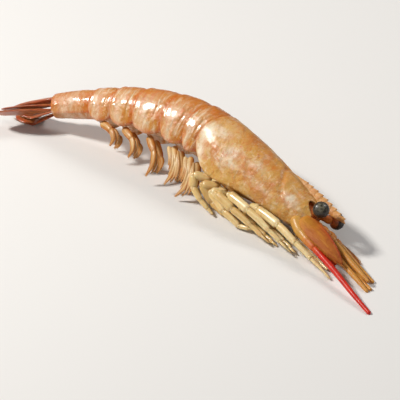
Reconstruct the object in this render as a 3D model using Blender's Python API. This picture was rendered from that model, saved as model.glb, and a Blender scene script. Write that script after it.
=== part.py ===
"""A whole cooked prawn lying on its left cheek: head shell with its toothed beak, six overlapping tail
segments, tail fan, eyes, feelers, walking legs and swimming legs.

Every piece is worked out in the prawn's own straight body frame and then bent along its spine:
    u  millimetres along the back from the eye socket, growing towards the tail
    w  millimetres to the prawn's right
    v  millimetres towards its back
The bent prawn leans over onto its left side. +X runs from tail to head, +Z is up.
"""

import math

import bmesh
import bpy
from mathutils import Matrix, Vector

MM = 0.001

# Driving sizes, in millimetres, along the back
CARAPACE_LENGTH = 48.0
SEGMENT_LENGTHS = (8.0, 12.0, 14.0, 11.0, 10.0, 18.0)
ROSTRUM_LENGTH = 15.5
TELSON_LENGTH = 20.0
UROPOD_LENGTH = 23.0
SCALE_LENGTH = 24.0
EYE_RADIUS = 3.0

# Shell fit, in millimetres
RIM = 0.4
GAP = 0.35
PLUG = 2.4

# Pose: how far the prawn leans to its left, where the eye socket's station is along the centred row frame,
# how far it stands to the left, and how high its spine line starts above the board
LEAN = math.radians(45.0)
FORWARD = 42.05
ASIDE = 2.5
LIFT = 7.0

SEGMENT_STARTS = [CARAPACE_LENGTH]
for length in SEGMENT_LENGTHS:
    SEGMENT_STARTS.append(SEGMENT_STARTS[-1] + length)
TAIL_ROOT = SEGMENT_STARTS[-1]

# Station along the back, slope of the spine in degrees: nose down at the head, falling again to the tail
SPINE_SLOPES = (
    (-60.0, -16.0), (44.0, -16.0), (54.0, -9.0), (66.0, 1.0), (80.0, 8.0),
    (92.0, 13.0), (102.0, 17.0), (112.0, 21.0), (122.0, 25.0), (132.0, 27.0), (150.0, 27.0),
)

# Station, half width, height of the back above the spine line, depth of the belly below it
BODY_PROFILE = (
    (-4.0, 4.0, 8.0, 3.4),
    (0.0, 5.6, 8.9, 4.2),
    (6.0, 7.0, 9.8, 5.2),
    (16.0, 8.3, 10.7, 6.6),
    (30.0, 9.2, 11.5, 8.2),
    (48.0, 8.8, 11.3, 8.8),
    (56.0, 8.4, 10.9, 8.6),
    (68.0, 8.0, 10.2, 8.2),
    (82.0, 7.2, 9.0, 7.6),
    (93.0, 6.3, 7.8, 6.7),
    (103.0, 5.3, 6.6, 5.8),
    (121.0, 3.8, 4.9, 4.4),
)

# Station, how far the side of a shell ring swings back behind its top
SWING_BACK = (
    (16.0, 0.0), (48.0, 3.6), (56.0, 3.0), (68.0, 2.4), (82.0, 2.0), (93.0, 1.6), (103.0, 1.4), (121.0, 0.4),
)

# Half outline of a shell section: angle from the back in degrees, share of the side flap's drop, its lean out
OUTLINE = (
    (0, 0.0, 0.0), (14, 0.0, 0.0), (28, 0.0, 0.0), (43, 0.0, 0.0), (58, 0.0, 0.0), (74, 0.0, 0.02),
    (90, 0.04, 0.05), (106, 0.24, 0.1), (120, 0.64, 0.12), (131, 1.0, 0.1), (138, 1.0, 0.02),
    (145, 0.4, 0.0), (156, 0.0, 0.0), (168, 0.0, 0.0), (180, 0.0, 0.0),
)
ROUNDNESS = 0.82

# Station, drop of the side flap: the head shell, then each tail segment's greatest drop
CARAPACE_FLAP = (
    (-4.0, 0.2), (2.0, 0.9), (12.0, 1.3), (20.0, 1.9), (28.0, 3.0), (36.0, 4.6), (41.0, 3.9), (45.0, 1.9), (48.0, 0.2),
)
SEGMENT_FLAPS = (2.8, 3.5, 3.5, 3.2, 2.8, 0.5)


def blend(keys, at):
    """Smooth value of a table of (station, value, ...) rows at a station."""
    last = len(keys) - 1
    if at <= keys[0][0]:
        found = list(keys[0][1:])
    elif at >= keys[last][0]:
        found = list(keys[last][1:])
    else:
        i = max(k for k in range(last) if keys[k][0] <= at)
        before, low, high, after = keys[max(i - 1, 0)], keys[i], keys[i + 1], keys[min(i + 2, last)]
        span = high[0] - low[0]
        t = (at - low[0]) / span
        found = []
        for c in range(1, len(low)):
            rise_low = (high[c] - before[c]) / (high[0] - before[0]) * span
            rise_high = (after[c] - low[c]) / (after[0] - low[0]) * span
            found.append(
                (2 * t**3 - 3 * t**2 + 1) * low[c] + (t**3 - 2 * t**2 + t) * rise_low
                + (3 * t**2 - 2 * t**3) * high[c] + (t**3 - t**2) * rise_high
            )
    return found[0] if len(found) == 1 else found


def walk_spine():
    """Points of the spine line every millimetre: forward, up and slope."""
    line = {}
    for direction in (1, -1):
        x = z = 0.0
        for u in range(0, 151 * direction, direction):
            line[u] = (x, z, math.radians(blend(SPINE_SLOPES, u)))
            middle = math.radians(blend(SPINE_SLOPES, u + direction / 2))
            x -= direction * math.cos(middle)
            z -= direction * math.sin(middle)
    return line


SPINE = walk_spine()


def bend(u, w, v):
    """A point of the straight body frame, bent along the spine: forward, left and up, in metres."""
    low = math.floor(u)
    t = u - low
    a, b = SPINE[low], SPINE[low + 1]
    x, z, slope = (a[k] + (b[k] - a[k]) * t for k in range(3))
    return Vector((x - math.sin(slope) * v, -w, z + math.cos(slope) * v)) * MM


POSE = Matrix.Translation(Vector((FORWARD, ASIDE, LIFT)) * MM) @ Matrix.Rotation(-LEAN, 4, "X")
UNPOSE = POSE.inverted()
UPWARD = UNPOSE.to_3x3() @ Vector((0, 0, 1))


def flatten(point):
    """Presses a point of the leaning prawn up to the board where it would be below it."""
    placed = POSE @ point
    placed.z = max(placed.z, 0.0)
    return UNPOSE @ placed


def lay(ring, clearance=0.0):
    """Lifts a whole ring of points until its lowest one is clearance millimetres above the board."""
    lowest = min((POSE @ p).z for p in ring)
    rise = max(0.0, clearance * MM - lowest)
    return [p + UPWARD * rise for p in ring]


def section(u, inset=0.0, flap=0.0):
    """One closed ring of the shell at a station: inset millimetres inside it, its side flaps hanging by flap."""
    half_width, top, bottom = blend(BODY_PROFILE, u)
    back = blend(SWING_BACK, u)
    half = []
    for angle, drop, lean in OUTLINE:
        a = math.radians(angle)
        w = (half_width - inset) * math.sin(a) ** ROUNDNESS if 0 < angle < 180 else 0.0
        v = math.cos(a) * ((top if angle < 90 else bottom) - inset)
        half.append((u + back * math.sin(a) ** 2, w + lean * flap, v - drop * flap))
    other = [(at, -w, v) for at, w, v in reversed(half[1:-1])]
    return [flatten(bend(*p)) for p in half + other]


def material(name, colour, roughness):
    made = bpy.data.materials.new(name)
    made.use_nodes = True
    shader = made.node_tree.nodes["Principled BSDF"]
    shader.inputs["Base Color"].default_value = (*colour, 1.0)
    shader.inputs["Roughness"].default_value = roughness
    shader.inputs["Metallic"].default_value = 0.0
    return made


def place(name, mesh, finish, collection, pose):
    part = bpy.data.objects.new(name, mesh)
    part.data.materials.append(finish)
    part.parent = pose
    collection.objects.link(part)
    return part


def loft(name, rings):
    """A closed mesh skinned over rings of equal length, each end closed by a fan around its middle."""
    bm = bmesh.new()
    rows = [[bm.verts.new(p) for p in ring] for ring in rings]
    for a, b in zip(rows, rows[1:]):
        for i in range(len(a)):
            bm.faces.new((a[i - 1], a[i], b[i], b[i - 1]))
    for ring, row in ((rings[0], rows[0]), (rings[-1], rows[-1])):
        middle = bm.verts.new(sum(ring, Vector()) / len(ring))
        for i in range(len(row)):
            bm.faces.new((row[i - 1], row[i], middle))
    bmesh.ops.recalc_face_normals(bm, faces=bm.faces)
    mesh = bpy.data.meshes.new(name)
    bm.to_mesh(mesh)
    bm.free()
    mesh.shade_smooth()
    return mesh


def limb_mesh(name, path, radii, sides=8, flat=1.0, clearance=0.0):
    """A tapering limb along a path of bent points, squeezed from left to right by flat."""
    rings = []
    for k, centre in enumerate(path):
        along = (path[min(k + 1, len(path) - 1)] - path[max(k - 1, 0)]).normalized()
        side = Vector((0, 1, 0))
        side = (side - along * side.dot(along)).normalized()
        other = along.cross(side)
        ring = []
        for i in range(sides):
            a = 2 * math.pi * i / sides
            ring.append(centre + (side * math.cos(a) * flat + other * math.sin(a)) * radii[k] * MM)
        rings.append(lay(ring, clearance))
    return loft(name, rings)


def smooth_path(points, radii, count):
    """A curve through body-frame points with its radii, as bent points."""
    rows = [(float(i), *p, r) for i, (p, r) in enumerate(zip(points, radii))]
    found = [blend(rows, (len(points) - 1) * k / (count - 1)) for k in range(count)]
    return [bend(*row[:3]) for row in found], [row[3] for row in found]


def jointed_path(joints, radii, share=0.2):
    """A leg of straight links through body-frame joints, each inner joint rounded and a little swollen."""
    points = [bend(*p) for p in joints]
    path, sizes = [points[0]], [radii[0]]
    for k in range(1, len(points) - 1):
        a, b, c = points[k - 1], points[k], points[k + 1]
        before, after = b + (a - b) * share, b + (c - b) * share
        path += [before, (before + after) * 0.25 + b * 0.5, after]
        sizes += [radii[k] * 0.92, radii[k] * 1.08, radii[k] * 0.94]
    return path + [points[-1]], sizes + [radii[-1]]


def leg_pieces(name, joints, radii):
    """Meshes of a leg: one, or two that cross at the first joint where the leg folds back sharply on itself."""
    root, knee, ankle = (bend(*p) for p in joints[:3])
    if (knee - root).angle(ankle - knee) < SHARP_FOLD:
        path, sizes = jointed_path(joints, radii)
        return [limb_mesh(name, path, sizes)]
    down, on = (knee - root).normalized() * MM, (ankle - knee).normalized() * MM
    upper = limb_mesh(name, [root, (root + knee) / 2, knee - down * 0.2, knee + down * 0.8], [radii[0], radii[0], radii[1] * 1.04, radii[1] * 0.7])
    path, sizes = jointed_path(joints[1:], radii[1:])
    lower = limb_mesh(name, [path[0] - on * 0.8, path[0] + on * 0.2] + path[1:], [sizes[0] * 0.66, sizes[0]] + sizes[1:])
    return [upper, lower]


def blade_mesh(name, spine, half_widths, thickness, facing, cup=0.0, clearance=0.0):
    """A thin leaf: spine points, half widths, thickness and facing direction, all in the body frame."""
    rings = []
    for k, centre in enumerate(spine):
        along = (spine[min(k + 1, len(spine) - 1)] - spine[max(k - 1, 0)]).normalized()
        normal = (facing - along * facing.dot(along)).normalized()
        side = along.cross(normal)
        half = half_widths[k]
        thick = thickness * min(1.0, 0.35 + half / max(half_widths))
        ring = []
        for s, t in ((-1, 0), (-0.6, 0.42), (0, 0.5), (0.6, 0.42), (1, 0), (0.6, -0.42), (0, -0.5), (-0.6, -0.42)):
            ring.append(bend(*(centre + side * (half * s) + normal * (thick * t - cup * half * s * s))))
        rings.append(lay(ring, clearance))
    return loft(name, rings)


def segment_rings(start, end, flap):
    """Rings of one tail segment: a plug that enters the segment before it, the shell, and a hollow rim behind."""
    length = end - start
    seat = RIM + GAP
    rings = [section(start - PLUG, seat + 0.9), section(start - PLUG * 0.55, seat + 0.25), section(start, seat)]
    for t in (0.14, 0.32, 0.52, 0.72, 0.88):
        rise = math.sin(math.pi * min(1.0, t * 1.25) / 2)
        lobe = math.sin(math.pi * (0.04 + 0.92 * t)) ** 0.6
        rings.append(section(start + length * t, seat * (1 - rise), flap * lobe))
    rings.append(section(end, 0.0, flap * 0.08))
    return rings + hollow_rings(end)


def hollow_rings(end):
    """The inside of a rear rim, where the next segment enters."""
    return [section(end - 0.05, RIM), section(end - PLUG * 0.55, RIM + 0.15), section(end - PLUG - 0.5, RIM + 0.7)]


def carapace_rings():
    """Rings of the head shell, from its rounded face back to the hollow rim over the first segment."""
    rings = [section(-4.8, 1.8), section(-4.2, 0.7), section(-3.0, 0.1, 0.2)]
    for u in (-0.5, 3.0, 8.0, 14.0, 20.0, 26.0, 31.0, 35.0, 38.5, 42.0, 45.0, 47.0):
        rings.append(section(u, 0.0, blend(CARAPACE_FLAP, u)))
    rings.append(section(CARAPACE_LENGTH, 0.0, 0.2))
    return rings + hollow_rings(CARAPACE_LENGTH)


def rostrum_mesh():
    """The toothed beak that runs forward from the crest of the head shell: one flat outline, made thick and bent."""
    tip = -ROSTRUM_LENGTH
    root = 11.0
    teeth = 8
    top = []
    for k in range(teeth):
        start = root + (tip + 2.0 - root) * k / teeth
        stop = root + (tip + 2.0 - root) * (k + 1) / teeth
        crest = 11.5 - 0.0036 * (start - 2.0) ** 2
        top += [(start, crest - 0.15), (start + (stop - start) * 0.8, crest + 0.6)]
    outline = [(root + 2.0, 9.4)] + top + [(tip, 9.3), (tip + 4.0, 8.8), (-7.0, 8.0), (-3.0, 6.6), (4.0, 6.6), (10.0, 7.6)]
    bm = bmesh.new()
    flat = bm.faces.new([bm.verts.new((u, 0.0, v)) for u, v in outline])
    grown = bmesh.ops.extrude_face_region(bm, geom=[flat])
    for item in grown["geom"]:
        if isinstance(item, bmesh.types.BMVert):
            item.co.y = 1.0
    for vert in bm.verts:
        u, side, v = vert.co
        half = 0.35 + 0.55 * max(0.0, min(1.0, (u - tip) / 14.0)) * max(0.3, min(1.0, (12.0 - v) / 4.0))
        vert.co = bend(u, half if side > 0.5 else -half, v)
    bmesh.ops.recalc_face_normals(bm, faces=bm.faces)
    mesh = bpy.data.meshes.new("rostrum")
    bm.to_mesh(mesh)
    bm.free()
    return mesh


def join(body, tool):
    """Fuses tool into body with one applied Boolean union, and removes tool."""
    union = body.modifiers.new("join", "BOOLEAN")
    union.operation = "UNION"
    union.object = tool
    bpy.context.view_layer.update()
    graph = bpy.context.evaluated_depsgraph_get()
    fused = bpy.data.meshes.new_from_object(body.evaluated_get(graph))
    body.modifiers.clear()
    body.data = fused
    bpy.data.objects.remove(tool)


def ball_mesh(name, centre, radius, squash, axis):
    """A rounded eye: an icosphere squeezed along its stalk."""
    bm = bmesh.new()
    bmesh.ops.create_icosphere(bm, subdivisions=2, radius=radius * MM)
    turn = axis.to_track_quat("Z", "Y").to_matrix().to_4x4()
    shape = Matrix.Translation(centre) @ turn @ Matrix.Diagonal((1.0, 1.0, squash, 1.0))
    bmesh.ops.transform(bm, matrix=shape, verts=bm.verts)
    mesh = bpy.data.meshes.new(name)
    bm.to_mesh(mesh)
    bm.free()
    mesh.shade_smooth()
    return mesh


# Walking legs, first pair to fifth: joints (u, w, v) from the root to the tip. The right ones fold forward
# under the edge of the head shell, the left ones lie on the board.
LEG_RADII = (1.1, 1.3, 1.15, 0.95, 0.9, 0.35)
SHARP_FOLD = math.radians(60)
RIGHT_LEGS = (
    ((21.0, 3.4, -9.6), (25.6, 7.6, -10.6), (14.0, 8.4, -9.8), (2.0, 7.4, -10.2), (-4.0, 6.8, -10.4), (-9.8, 6.2, -10.6)),
    ((25.6, 3.4, -10.6), (29.4, 8.2, -13.6), (20.0, 7.4, -13.6), (10.0, 6.2, -13.4), (4.0, 5.8, -13.4), (0.0, 5.4, -13.4)),
    ((29.4, 3.4, -10.8), (33.8, 5.0, -14.6), (24.0, 4.0, -16.4), (15.4, 3.2, -16.8), (11.6, 3.4, -14.8), (9.0, 4.0, -12.8)),
    ((33.6, 3.4, -10.9), (38.6, 5.2, -14.8), (32.0, 1.6, -17.4), (25.0, 1.0, -17.4), (21.0, 0.8, -17.0), (18.4, 0.6, -16.6)),
    ((38.0, 3.4, -11.0), (43.8, 5.6, -14.2), (40.6, 4.6, -17.8), (35.0, 4.0, -19.4), (31.0, 3.4, -19.8), (27.6, 3.0, -20.0)),
)
LEFT_LEGS = (
    ((21.4, -3.2, -10.2), (15.0, -0.6, -10.8), (5.0, 1.8, -10.0), (-3.0, 3.4, -9.9), (-7.0, 3.8, -9.8), (-10.0, 4.0, -9.7)),
    ((25.4, -3.4, -10.6), (21.6, -1.6, -13.1), (12.0, 1.4, -13.4), (5.0, 2.6, -12.9), (1.0, 3.0, -12.7), (-2.0, 3.4, -12.4)),
    ((29.0, -3.8, -11.0), (31.4, -6.2, -12.3), (38.0, -7.4, -13.4), (43.0, -10.4, -12.0), (46.4, -13.6, -9.6), (49.0, -16.0, -7.8)),
    ((33.4, -3.2, -11.0), (39.6, -2.2, -14.8), (34.0, -1.6, -16.6), (30.0, -1.6, -16.2), (28.0, -1.4, -15.8), (26.4, -1.2, -15.4)),
    ((38.2, -3.6, -11.0), (44.8, -4.6, -13.4), (48.4, -8.4, -14.0), (52.0, -13.0, -11.0), (54.0, -15.4, -9.2), (56.0, -17.4, -7.6)),
)

MAXILLIPED_RADII = (1.4, 1.5, 1.4, 1.25, 1.05, 0.4)
RIGHT_MAXILLIPED = ((17.0, 3.6, -8.7), (13.0, 6.2, -7.5), (1.0, 7.2, -6.5), (-9.0, 7.4, -7.0), (-18.0, 7.4, -7.2), (-30.0, 7.6, -8.0))
LEFT_MAXILLIPED = ((15.5, -3.6, -8.2), (10.0, -3.0, -7.9), (0.0, 0.2, -7.2), (-9.0, 1.8, -7.0), (-16.0, 3.2, -6.7), (-25.0, 4.8, -6.4))

ANTENNA_RADII = (2.0, 1.65, 1.25, 1.0, 0.88, 0.75)
RIGHT_ANTENNA = ((-5.8, 5.6, -2.6), (-12.0, 6.6, -3.4), (-20.0, 7.6, -4.0), (-32.0, 9.4, -5.0), (-44.0, 11.4, -6.4), (-55.0, 13.2, -7.4))
LEFT_ANTENNA = ((-5.8, -1.6, -2.4), (-10.0, -1.2, -2.6), (-13.0, -0.8, -2.8), (-16.5, -0.2, -3.0), (-20.0, 0.4, -3.2), (-24.0, 1.0, -3.4))

# The stout base of an antennule and its long upper lash, then the lower lash
PEDUNCLE_RADII = (1.5, 1.8, 1.6, 1.4, 1.0, 0.7, 0.45)
RIGHT_PEDUNCLE = ((-5.4, 2.2, 1.8), (-9.0, 2.5, 2.6), (-14.0, 2.7, 2.6), (-19.0, 2.9, 2.1), (-25.0, 3.2, 1.4), (-33.0, 3.6, 0.7), (-41.0, 4.2, 0.1))
LEFT_PEDUNCLE = ((-5.4, -2.2, 1.8), (-9.0, -2.5, 2.6), (-14.0, -2.3, 2.7), (-19.0, -1.5, 2.3), (-25.0, -0.6, 1.7), (-33.0, 0.6, 1.2), (-41.0, 1.6, 0.9))
FLAGELLUM_RADII = (0.8, 0.85, 0.75, 0.6, 0.4)
RIGHT_FLAGELLUM = ((-21.4, 3.6, -0.7), (-26.0, 4.0, -1.1), (-32.0, 4.5, -1.6), (-38.0, 5.0, -2.1), (-44.0, 5.6, -2.7))
LEFT_FLAGELLUM = ((-21.4, -1.2, -0.2), (-26.0, -0.5, -0.7), (-32.0, 0.8, -1.3), (-38.0, 2.8, -1.4), (-44.0, 4.6, -1.4))

# Swimming legs: their path below the root, as (along, out, down) from it, for the right and the left side
RIGHT_SWIMMERET = ((0.0, 0.0, -1.8), (-3.2, 0.8, -4.0), (-6.8, 1.3, -7.2), (-8.6, 1.2, -11.4), (-7.4, 0.4, -16.0))
LEFT_SWIMMERET = ((0.0, 0.0, -1.8), (-2.4, 0.8, -4.0), (-4.8, 1.6, -7.0), (-5.0, 2.2, -10.0), (-3.0, 3.0, -13.0))
SWIMMERET_RADII = (1.1, 1.5, 1.3, 0.95, 0.35)
SWIMMERET_SIZES = (1.0, 0.95, 1.0, 0.75, 0.62)


def main():
    for old in list(bpy.data.objects):
        bpy.data.objects.remove(old)
    prawn = bpy.data.collections.new("prawn")
    bpy.context.scene.collection.children.link(prawn)
    pose = bpy.data.objects.new("pose", None)
    prawn.objects.link(pose)
    pose.matrix_world = POSE

    shell = material("shell", (0.68, 0.37, 0.16), 0.28)
    fan = material("tail_fan", (0.45, 0.12, 0.05), 0.25)
    leg = material("leg", (0.72, 0.45, 0.18), 0.4)
    swimmeret = material("swimmeret", (0.66, 0.33, 0.10), 0.4)
    scale = material("antennal_scale", (0.62, 0.22, 0.05), 0.35)
    feeler = material("feeler", (0.55, 0.04, 0.02), 0.35)
    dark = material("eye", (0.02, 0.015, 0.015), 0.15)

    carapace = place("carapace", loft("carapace", carapace_rings()), shell, prawn, pose)
    join(carapace, place("rostrum", rostrum_mesh(), shell, prawn, pose))
    for k, flap in enumerate(SEGMENT_FLAPS):
        name = f"tail_segment_{k + 1}"
        place(name, loft(name, segment_rings(SEGMENT_STARTS[k], SEGMENT_STARTS[k + 1], flap)), shell, prawn, pose)

    root = TAIL_ROOT - 1.6
    spine = [Vector((root + TELSON_LENGTH * t, 0.0, 2.5 - 0.7 * t)) for t in (0, 0.12, 0.22, 0.4, 0.62, 0.84, 1.0)]
    widths = (1.9, 2.2, 2.8, 2.6, 1.9, 1.1, 0.35)
    place("telson", blade_mesh("telson", spine, widths, 2.0, Vector((0, 0.1, 1)), 0.0, 2.8), fan, prawn, pose)

    shares = (0, 0.1, 0.26, 0.48, 0.72, 0.9, 1.0)
    for label, side in (("right", 1), ("left", -1)):
        facing = Vector((0, 0.15, 1)) if side > 0 else Vector((0, 0.7, 0.8))
        reach = UROPOD_LENGTH - 1.5
        spine = [Vector((root + reach * t, side * (1.8 + 4.2 * t), -0.2 - 0.6 * t)) for t in shares]
        name = f"inner_tail_blade_{label}"
        widths = (0.7, 0.9, 1.9, 2.7, 2.6, 1.8, 0.6)
        place(name, blade_mesh(name, spine, widths, 1.0, facing, 0.1, 1.5), fan, prawn, pose)
        spine = [Vector((root + UROPOD_LENGTH * t, side * (1.3 + 7.3 * t), -1.9 - 1.2 * t)) for t in shares]
        name = f"outer_tail_blade_{label}"
        widths = (0.6, 0.8, 2.2, 3.6, 3.7, 2.8, 1.0)
        place(name, blade_mesh(name, spine, widths, 1.1, facing, 0.1), fan, prawn, pose)

        stalk = [bend(-6.4, side * 1.3, 5.7), bend(-6.8, side * 2.5, 6.2), bend(-7.4, side * 3.7, 6.8)]
        name = f"eyestalk_{label}"
        place(name, limb_mesh(name, stalk, (1.2, 1.4, 1.6)), leg, prawn, pose)
        centre = bend(-8.0, side * 6.6, 7.75)
        name = f"eye_{label}"
        place(name, ball_mesh(name, centre, EYE_RADIUS, 0.86, centre - stalk[0]), dark, prawn, pose)

        if side > 0:
            spine = [Vector((-5.8 - SCALE_LENGTH * t, 6.0 + 2.2 * math.sin(math.pi * t * 0.8), 1.4 + 0.6 * math.sin(math.pi * t) - 2.8 * t)) for t in shares]
            facing = Vector((0, 0.85, 0.5))
        else:
            spine = [Vector((-5.8 - SCALE_LENGTH * t, -6.6 + 1.0 * math.sin(math.pi * t / 2), 1.2 - 1.5 * math.sin(math.pi * t / 2))) for t in shares]
            facing = Vector((0, 0.71, 0.71))
        name = f"antennal_scale_{label}"
        widths = (2.0, 3.0, 3.9, 4.1, 3.5, 2.2, 0.6)
        place(name, blade_mesh(name, spine, widths, 1.3, facing, 0.12), scale, prawn, pose)

        name = f"antenna_{label}"
        path, sizes = smooth_path(RIGHT_ANTENNA if side > 0 else LEFT_ANTENNA, ANTENNA_RADII, 14)
        place(name, limb_mesh(name, path, sizes), feeler, prawn, pose)

        upper, lower = (RIGHT_PEDUNCLE, RIGHT_FLAGELLUM) if side > 0 else (LEFT_PEDUNCLE, LEFT_FLAGELLUM)
        for name, points, radii in ((f"antennule_{label}", upper, PEDUNCLE_RADII), (f"lower_lash_{label}", lower, FLAGELLUM_RADII)):
            path, sizes = smooth_path(points, radii, 13)
            place(name, limb_mesh(name, path, sizes), scale, prawn, pose)

        name = f"maxilliped_{label}"
        path, sizes = jointed_path(RIGHT_MAXILLIPED if side > 0 else LEFT_MAXILLIPED, MAXILLIPED_RADII)
        place(name, limb_mesh(name, path, sizes), leg, prawn, pose)

        for k, joints in enumerate(RIGHT_LEGS if side > 0 else LEFT_LEGS):
            name = f"walking_leg_{k + 1}_{label}"
            first, *others = [place(name, mesh, leg, prawn, pose) for mesh in leg_pieces(name, joints, LEG_RADII)]
            for other in others:
                join(first, other)

        for k, size in enumerate(SWIMMERET_SIZES):
            u = SEGMENT_STARTS[k] + SEGMENT_LENGTHS[k] * 0.55
            depth = blend(BODY_PROFILE, u)[2]
            points = [
                (u + along, side * (2.6 + out), -depth + down * (size if down < -2 else 1))
                for along, out, down in (RIGHT_SWIMMERET if side > 0 else LEFT_SWIMMERET)
            ]
            path, sizes = smooth_path(points, SWIMMERET_RADII, 9)
            name = f"swimming_leg_{k + 1}_{label}"
            place(name, limb_mesh(name, path, sizes, 6, 0.5), swimmeret, prawn, pose)


main()
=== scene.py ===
# %% [markdown]
# # A whole cooked prawn, piece by piece
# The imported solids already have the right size, place and pose. This lesson dresses them: every solid gets a
# finer piece in the same place, modelled with Blender's mesh operators, and a finish made of nodes.
# The frame comes first, because each piece is fitted to it. Its box is kept, so that the size can be compared.

import math
import random

import bmesh
import bpy
from mathutils import Matrix, Vector, noise


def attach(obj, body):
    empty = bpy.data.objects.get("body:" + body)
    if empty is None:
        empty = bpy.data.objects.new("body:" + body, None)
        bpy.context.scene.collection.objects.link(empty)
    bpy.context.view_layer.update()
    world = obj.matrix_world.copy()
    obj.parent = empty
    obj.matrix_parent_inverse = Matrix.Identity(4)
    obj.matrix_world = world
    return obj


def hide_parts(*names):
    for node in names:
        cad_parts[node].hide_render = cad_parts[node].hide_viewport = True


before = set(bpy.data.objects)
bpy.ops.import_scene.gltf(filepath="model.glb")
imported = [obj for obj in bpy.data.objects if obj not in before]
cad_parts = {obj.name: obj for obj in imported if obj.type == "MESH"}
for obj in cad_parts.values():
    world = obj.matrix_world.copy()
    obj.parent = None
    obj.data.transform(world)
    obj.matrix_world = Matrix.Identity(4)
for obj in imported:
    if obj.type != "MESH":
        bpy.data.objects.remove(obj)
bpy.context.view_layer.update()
print(len(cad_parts), "solids in the frame")

# %% [markdown]
# ## The camera
# It comes first, so that every later step can be looked at. A small thing is photographed from far away with a
# long lens, which flattens it. The distance and the height come from the perspective of the photograph, and the
# lens is then long enough for the prawn alone to fill the picture.

# %% Camera
CAMERA_PLACE = Vector((0.8657, -1.0543, 0.830))
CAMERA_AIM = Vector((0.0025, -0.0058, 0.0036))
lens = bpy.data.cameras.new("camera")
lens.lens = 398.0
lens.clip_start = 0.05
camera = bpy.data.objects.new("camera", lens)
camera.location = CAMERA_PLACE
camera.rotation_euler = (CAMERA_AIM - CAMERA_PLACE).to_track_quat("-Z", "Y").to_euler()
bpy.context.scene.collection.objects.link(camera)
bpy.context.scene.camera = camera
print("camera is", round((CAMERA_AIM - CAMERA_PLACE).length, 3), "m away")

# %% [markdown]
# ## Floor and light
# A plain pale floor shows the true outline. Wet shell looks wet only if something bright is mirrored in it, so
# one soft lamp stands up and to the left, where the small white highlights of the photograph come from. It isn't
# large, because the highlights are small. One behind the prawn lights its back, a weak one in front lifts the
# shadows, and the grey surroundings fill in the rest.

# %% Floor
bm = bmesh.new()
bmesh.ops.create_grid(bm, x_segments=1, y_segments=1, size=3.0)
floor_mesh = bpy.data.meshes.new("floor")
bm.to_mesh(floor_mesh)
bm.free()
floor = bpy.data.objects.new("floor", floor_mesh)
bpy.context.scene.collection.objects.link(floor)
paper = bpy.data.materials.new("pale_floor")
paper.use_nodes = True
paper_surface = paper.node_tree.nodes["Principled BSDF"].inputs
paper_surface["Base Color"].default_value = (0.80, 0.79, 0.77, 1.0)
paper_surface["Roughness"].default_value = 0.9
floor_mesh.materials.append(paper)
print("floor", len(floor_mesh.polygons), "face")


# %% Lamps
def soft_lamp(name, direction, distance, size, watts, colour):
    lamp = bpy.data.lights.new(name, "AREA")
    lamp.shape = "DISK"
    lamp.size = size
    lamp.energy = watts
    lamp.color = colour
    holder = bpy.data.objects.new(name, lamp)
    holder.location = Vector(direction).normalized() * distance
    holder.rotation_euler = (-holder.location).to_track_quat("-Z", "Y").to_euler()
    bpy.context.scene.collection.objects.link(holder)
    print(name, watts, "W")


soft_lamp("key_lamp", (-0.63, -0.33, 0.72), distance=0.9, size=0.16, watts=7.8, colour=(1.0, 0.97, 0.93))
soft_lamp("back_lamp", (0.35, 0.75, 0.85), distance=1.1, size=0.4, watts=4.0, colour=(1.0, 0.98, 0.96))
soft_lamp("front_lamp", (0.5, -0.9, 0.6), distance=1.3, size=0.7, watts=1.8, colour=(1.0, 0.98, 0.95))
surroundings = bpy.data.worlds.new("surroundings")
surroundings.use_nodes = True
sky = surroundings.node_tree.nodes["Background"].inputs
sky["Color"].default_value = (0.93, 0.95, 1.0, 1.0)
sky["Strength"].default_value = 0.13
bpy.context.scene.world = surroundings
bpy.context.scene.view_settings.view_transform = "Standard"

# %% [markdown]
# ## Working on a straight prawn
# A prawn is curved and leans on its cheek, which makes it awkward to model in place. So each point is worked out
# on a straight prawn first: u millimetres from the eye socket towards the tail, w to its right, v towards its
# back. on_prawn() then bends that point along the spine, leans it over and puts it into the frame.
# A lattice or a curve modifier could bend finished meshes too, but a formula lets any piece be placed exactly.

# %% The spine
MM = 0.001
SIDES = (("right", 1), ("left", -1))
POSE = Matrix.Translation(Vector((42.05, 2.5, 7.0)) * MM) @ Matrix.Rotation(math.radians(-45.0), 4, "X")
SPINE_REACH = 151
SPINE_SLOPES = (
    (-60.0, -16.0), (44.0, -16.0), (54.0, -9.0), (66.0, 1.0), (80.0, 8.0),
    (92.0, 13.0), (102.0, 17.0), (112.0, 21.0), (122.0, 25.0), (132.0, 27.0), (150.0, 27.0),
)


def blend(keys, at):
    """Smooth value of a table of (station, value, ...) rows at a station."""
    last = len(keys) - 1
    if at <= keys[0][0]:
        found = list(keys[0][1:])
    elif at >= keys[last][0]:
        found = list(keys[last][1:])
    else:
        i = max(k for k in range(last) if keys[k][0] <= at)
        before, low, high, after = keys[max(i - 1, 0)], keys[i], keys[i + 1], keys[min(i + 2, last)]
        span = high[0] - low[0]
        t = (at - low[0]) / span
        found = []
        for c in range(1, len(low)):
            rise_low = (high[c] - before[c]) / (high[0] - before[0]) * span
            rise_high = (after[c] - low[c]) / (after[0] - low[0]) * span
            found.append(
                (2 * t**3 - 3 * t**2 + 1) * low[c] + (t**3 - 2 * t**2 + t) * rise_low
                + (3 * t**2 - 2 * t**3) * high[c] + (t**3 - t**2) * rise_high
            )
    return found[0] if len(found) == 1 else found


def walk_spine():
    """Points of the spine line every millimetre: forward, up and slope."""
    line = {}
    for direction in (1, -1):
        x = z = 0.0
        for u in range(0, SPINE_REACH * direction, direction):
            line[u] = (x, z, math.radians(blend(SPINE_SLOPES, u)))
            middle = math.radians(blend(SPINE_SLOPES, u + direction / 2))
            x -= direction * math.cos(middle)
            z -= direction * math.sin(middle)
    return line


SPINE = walk_spine()


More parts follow.
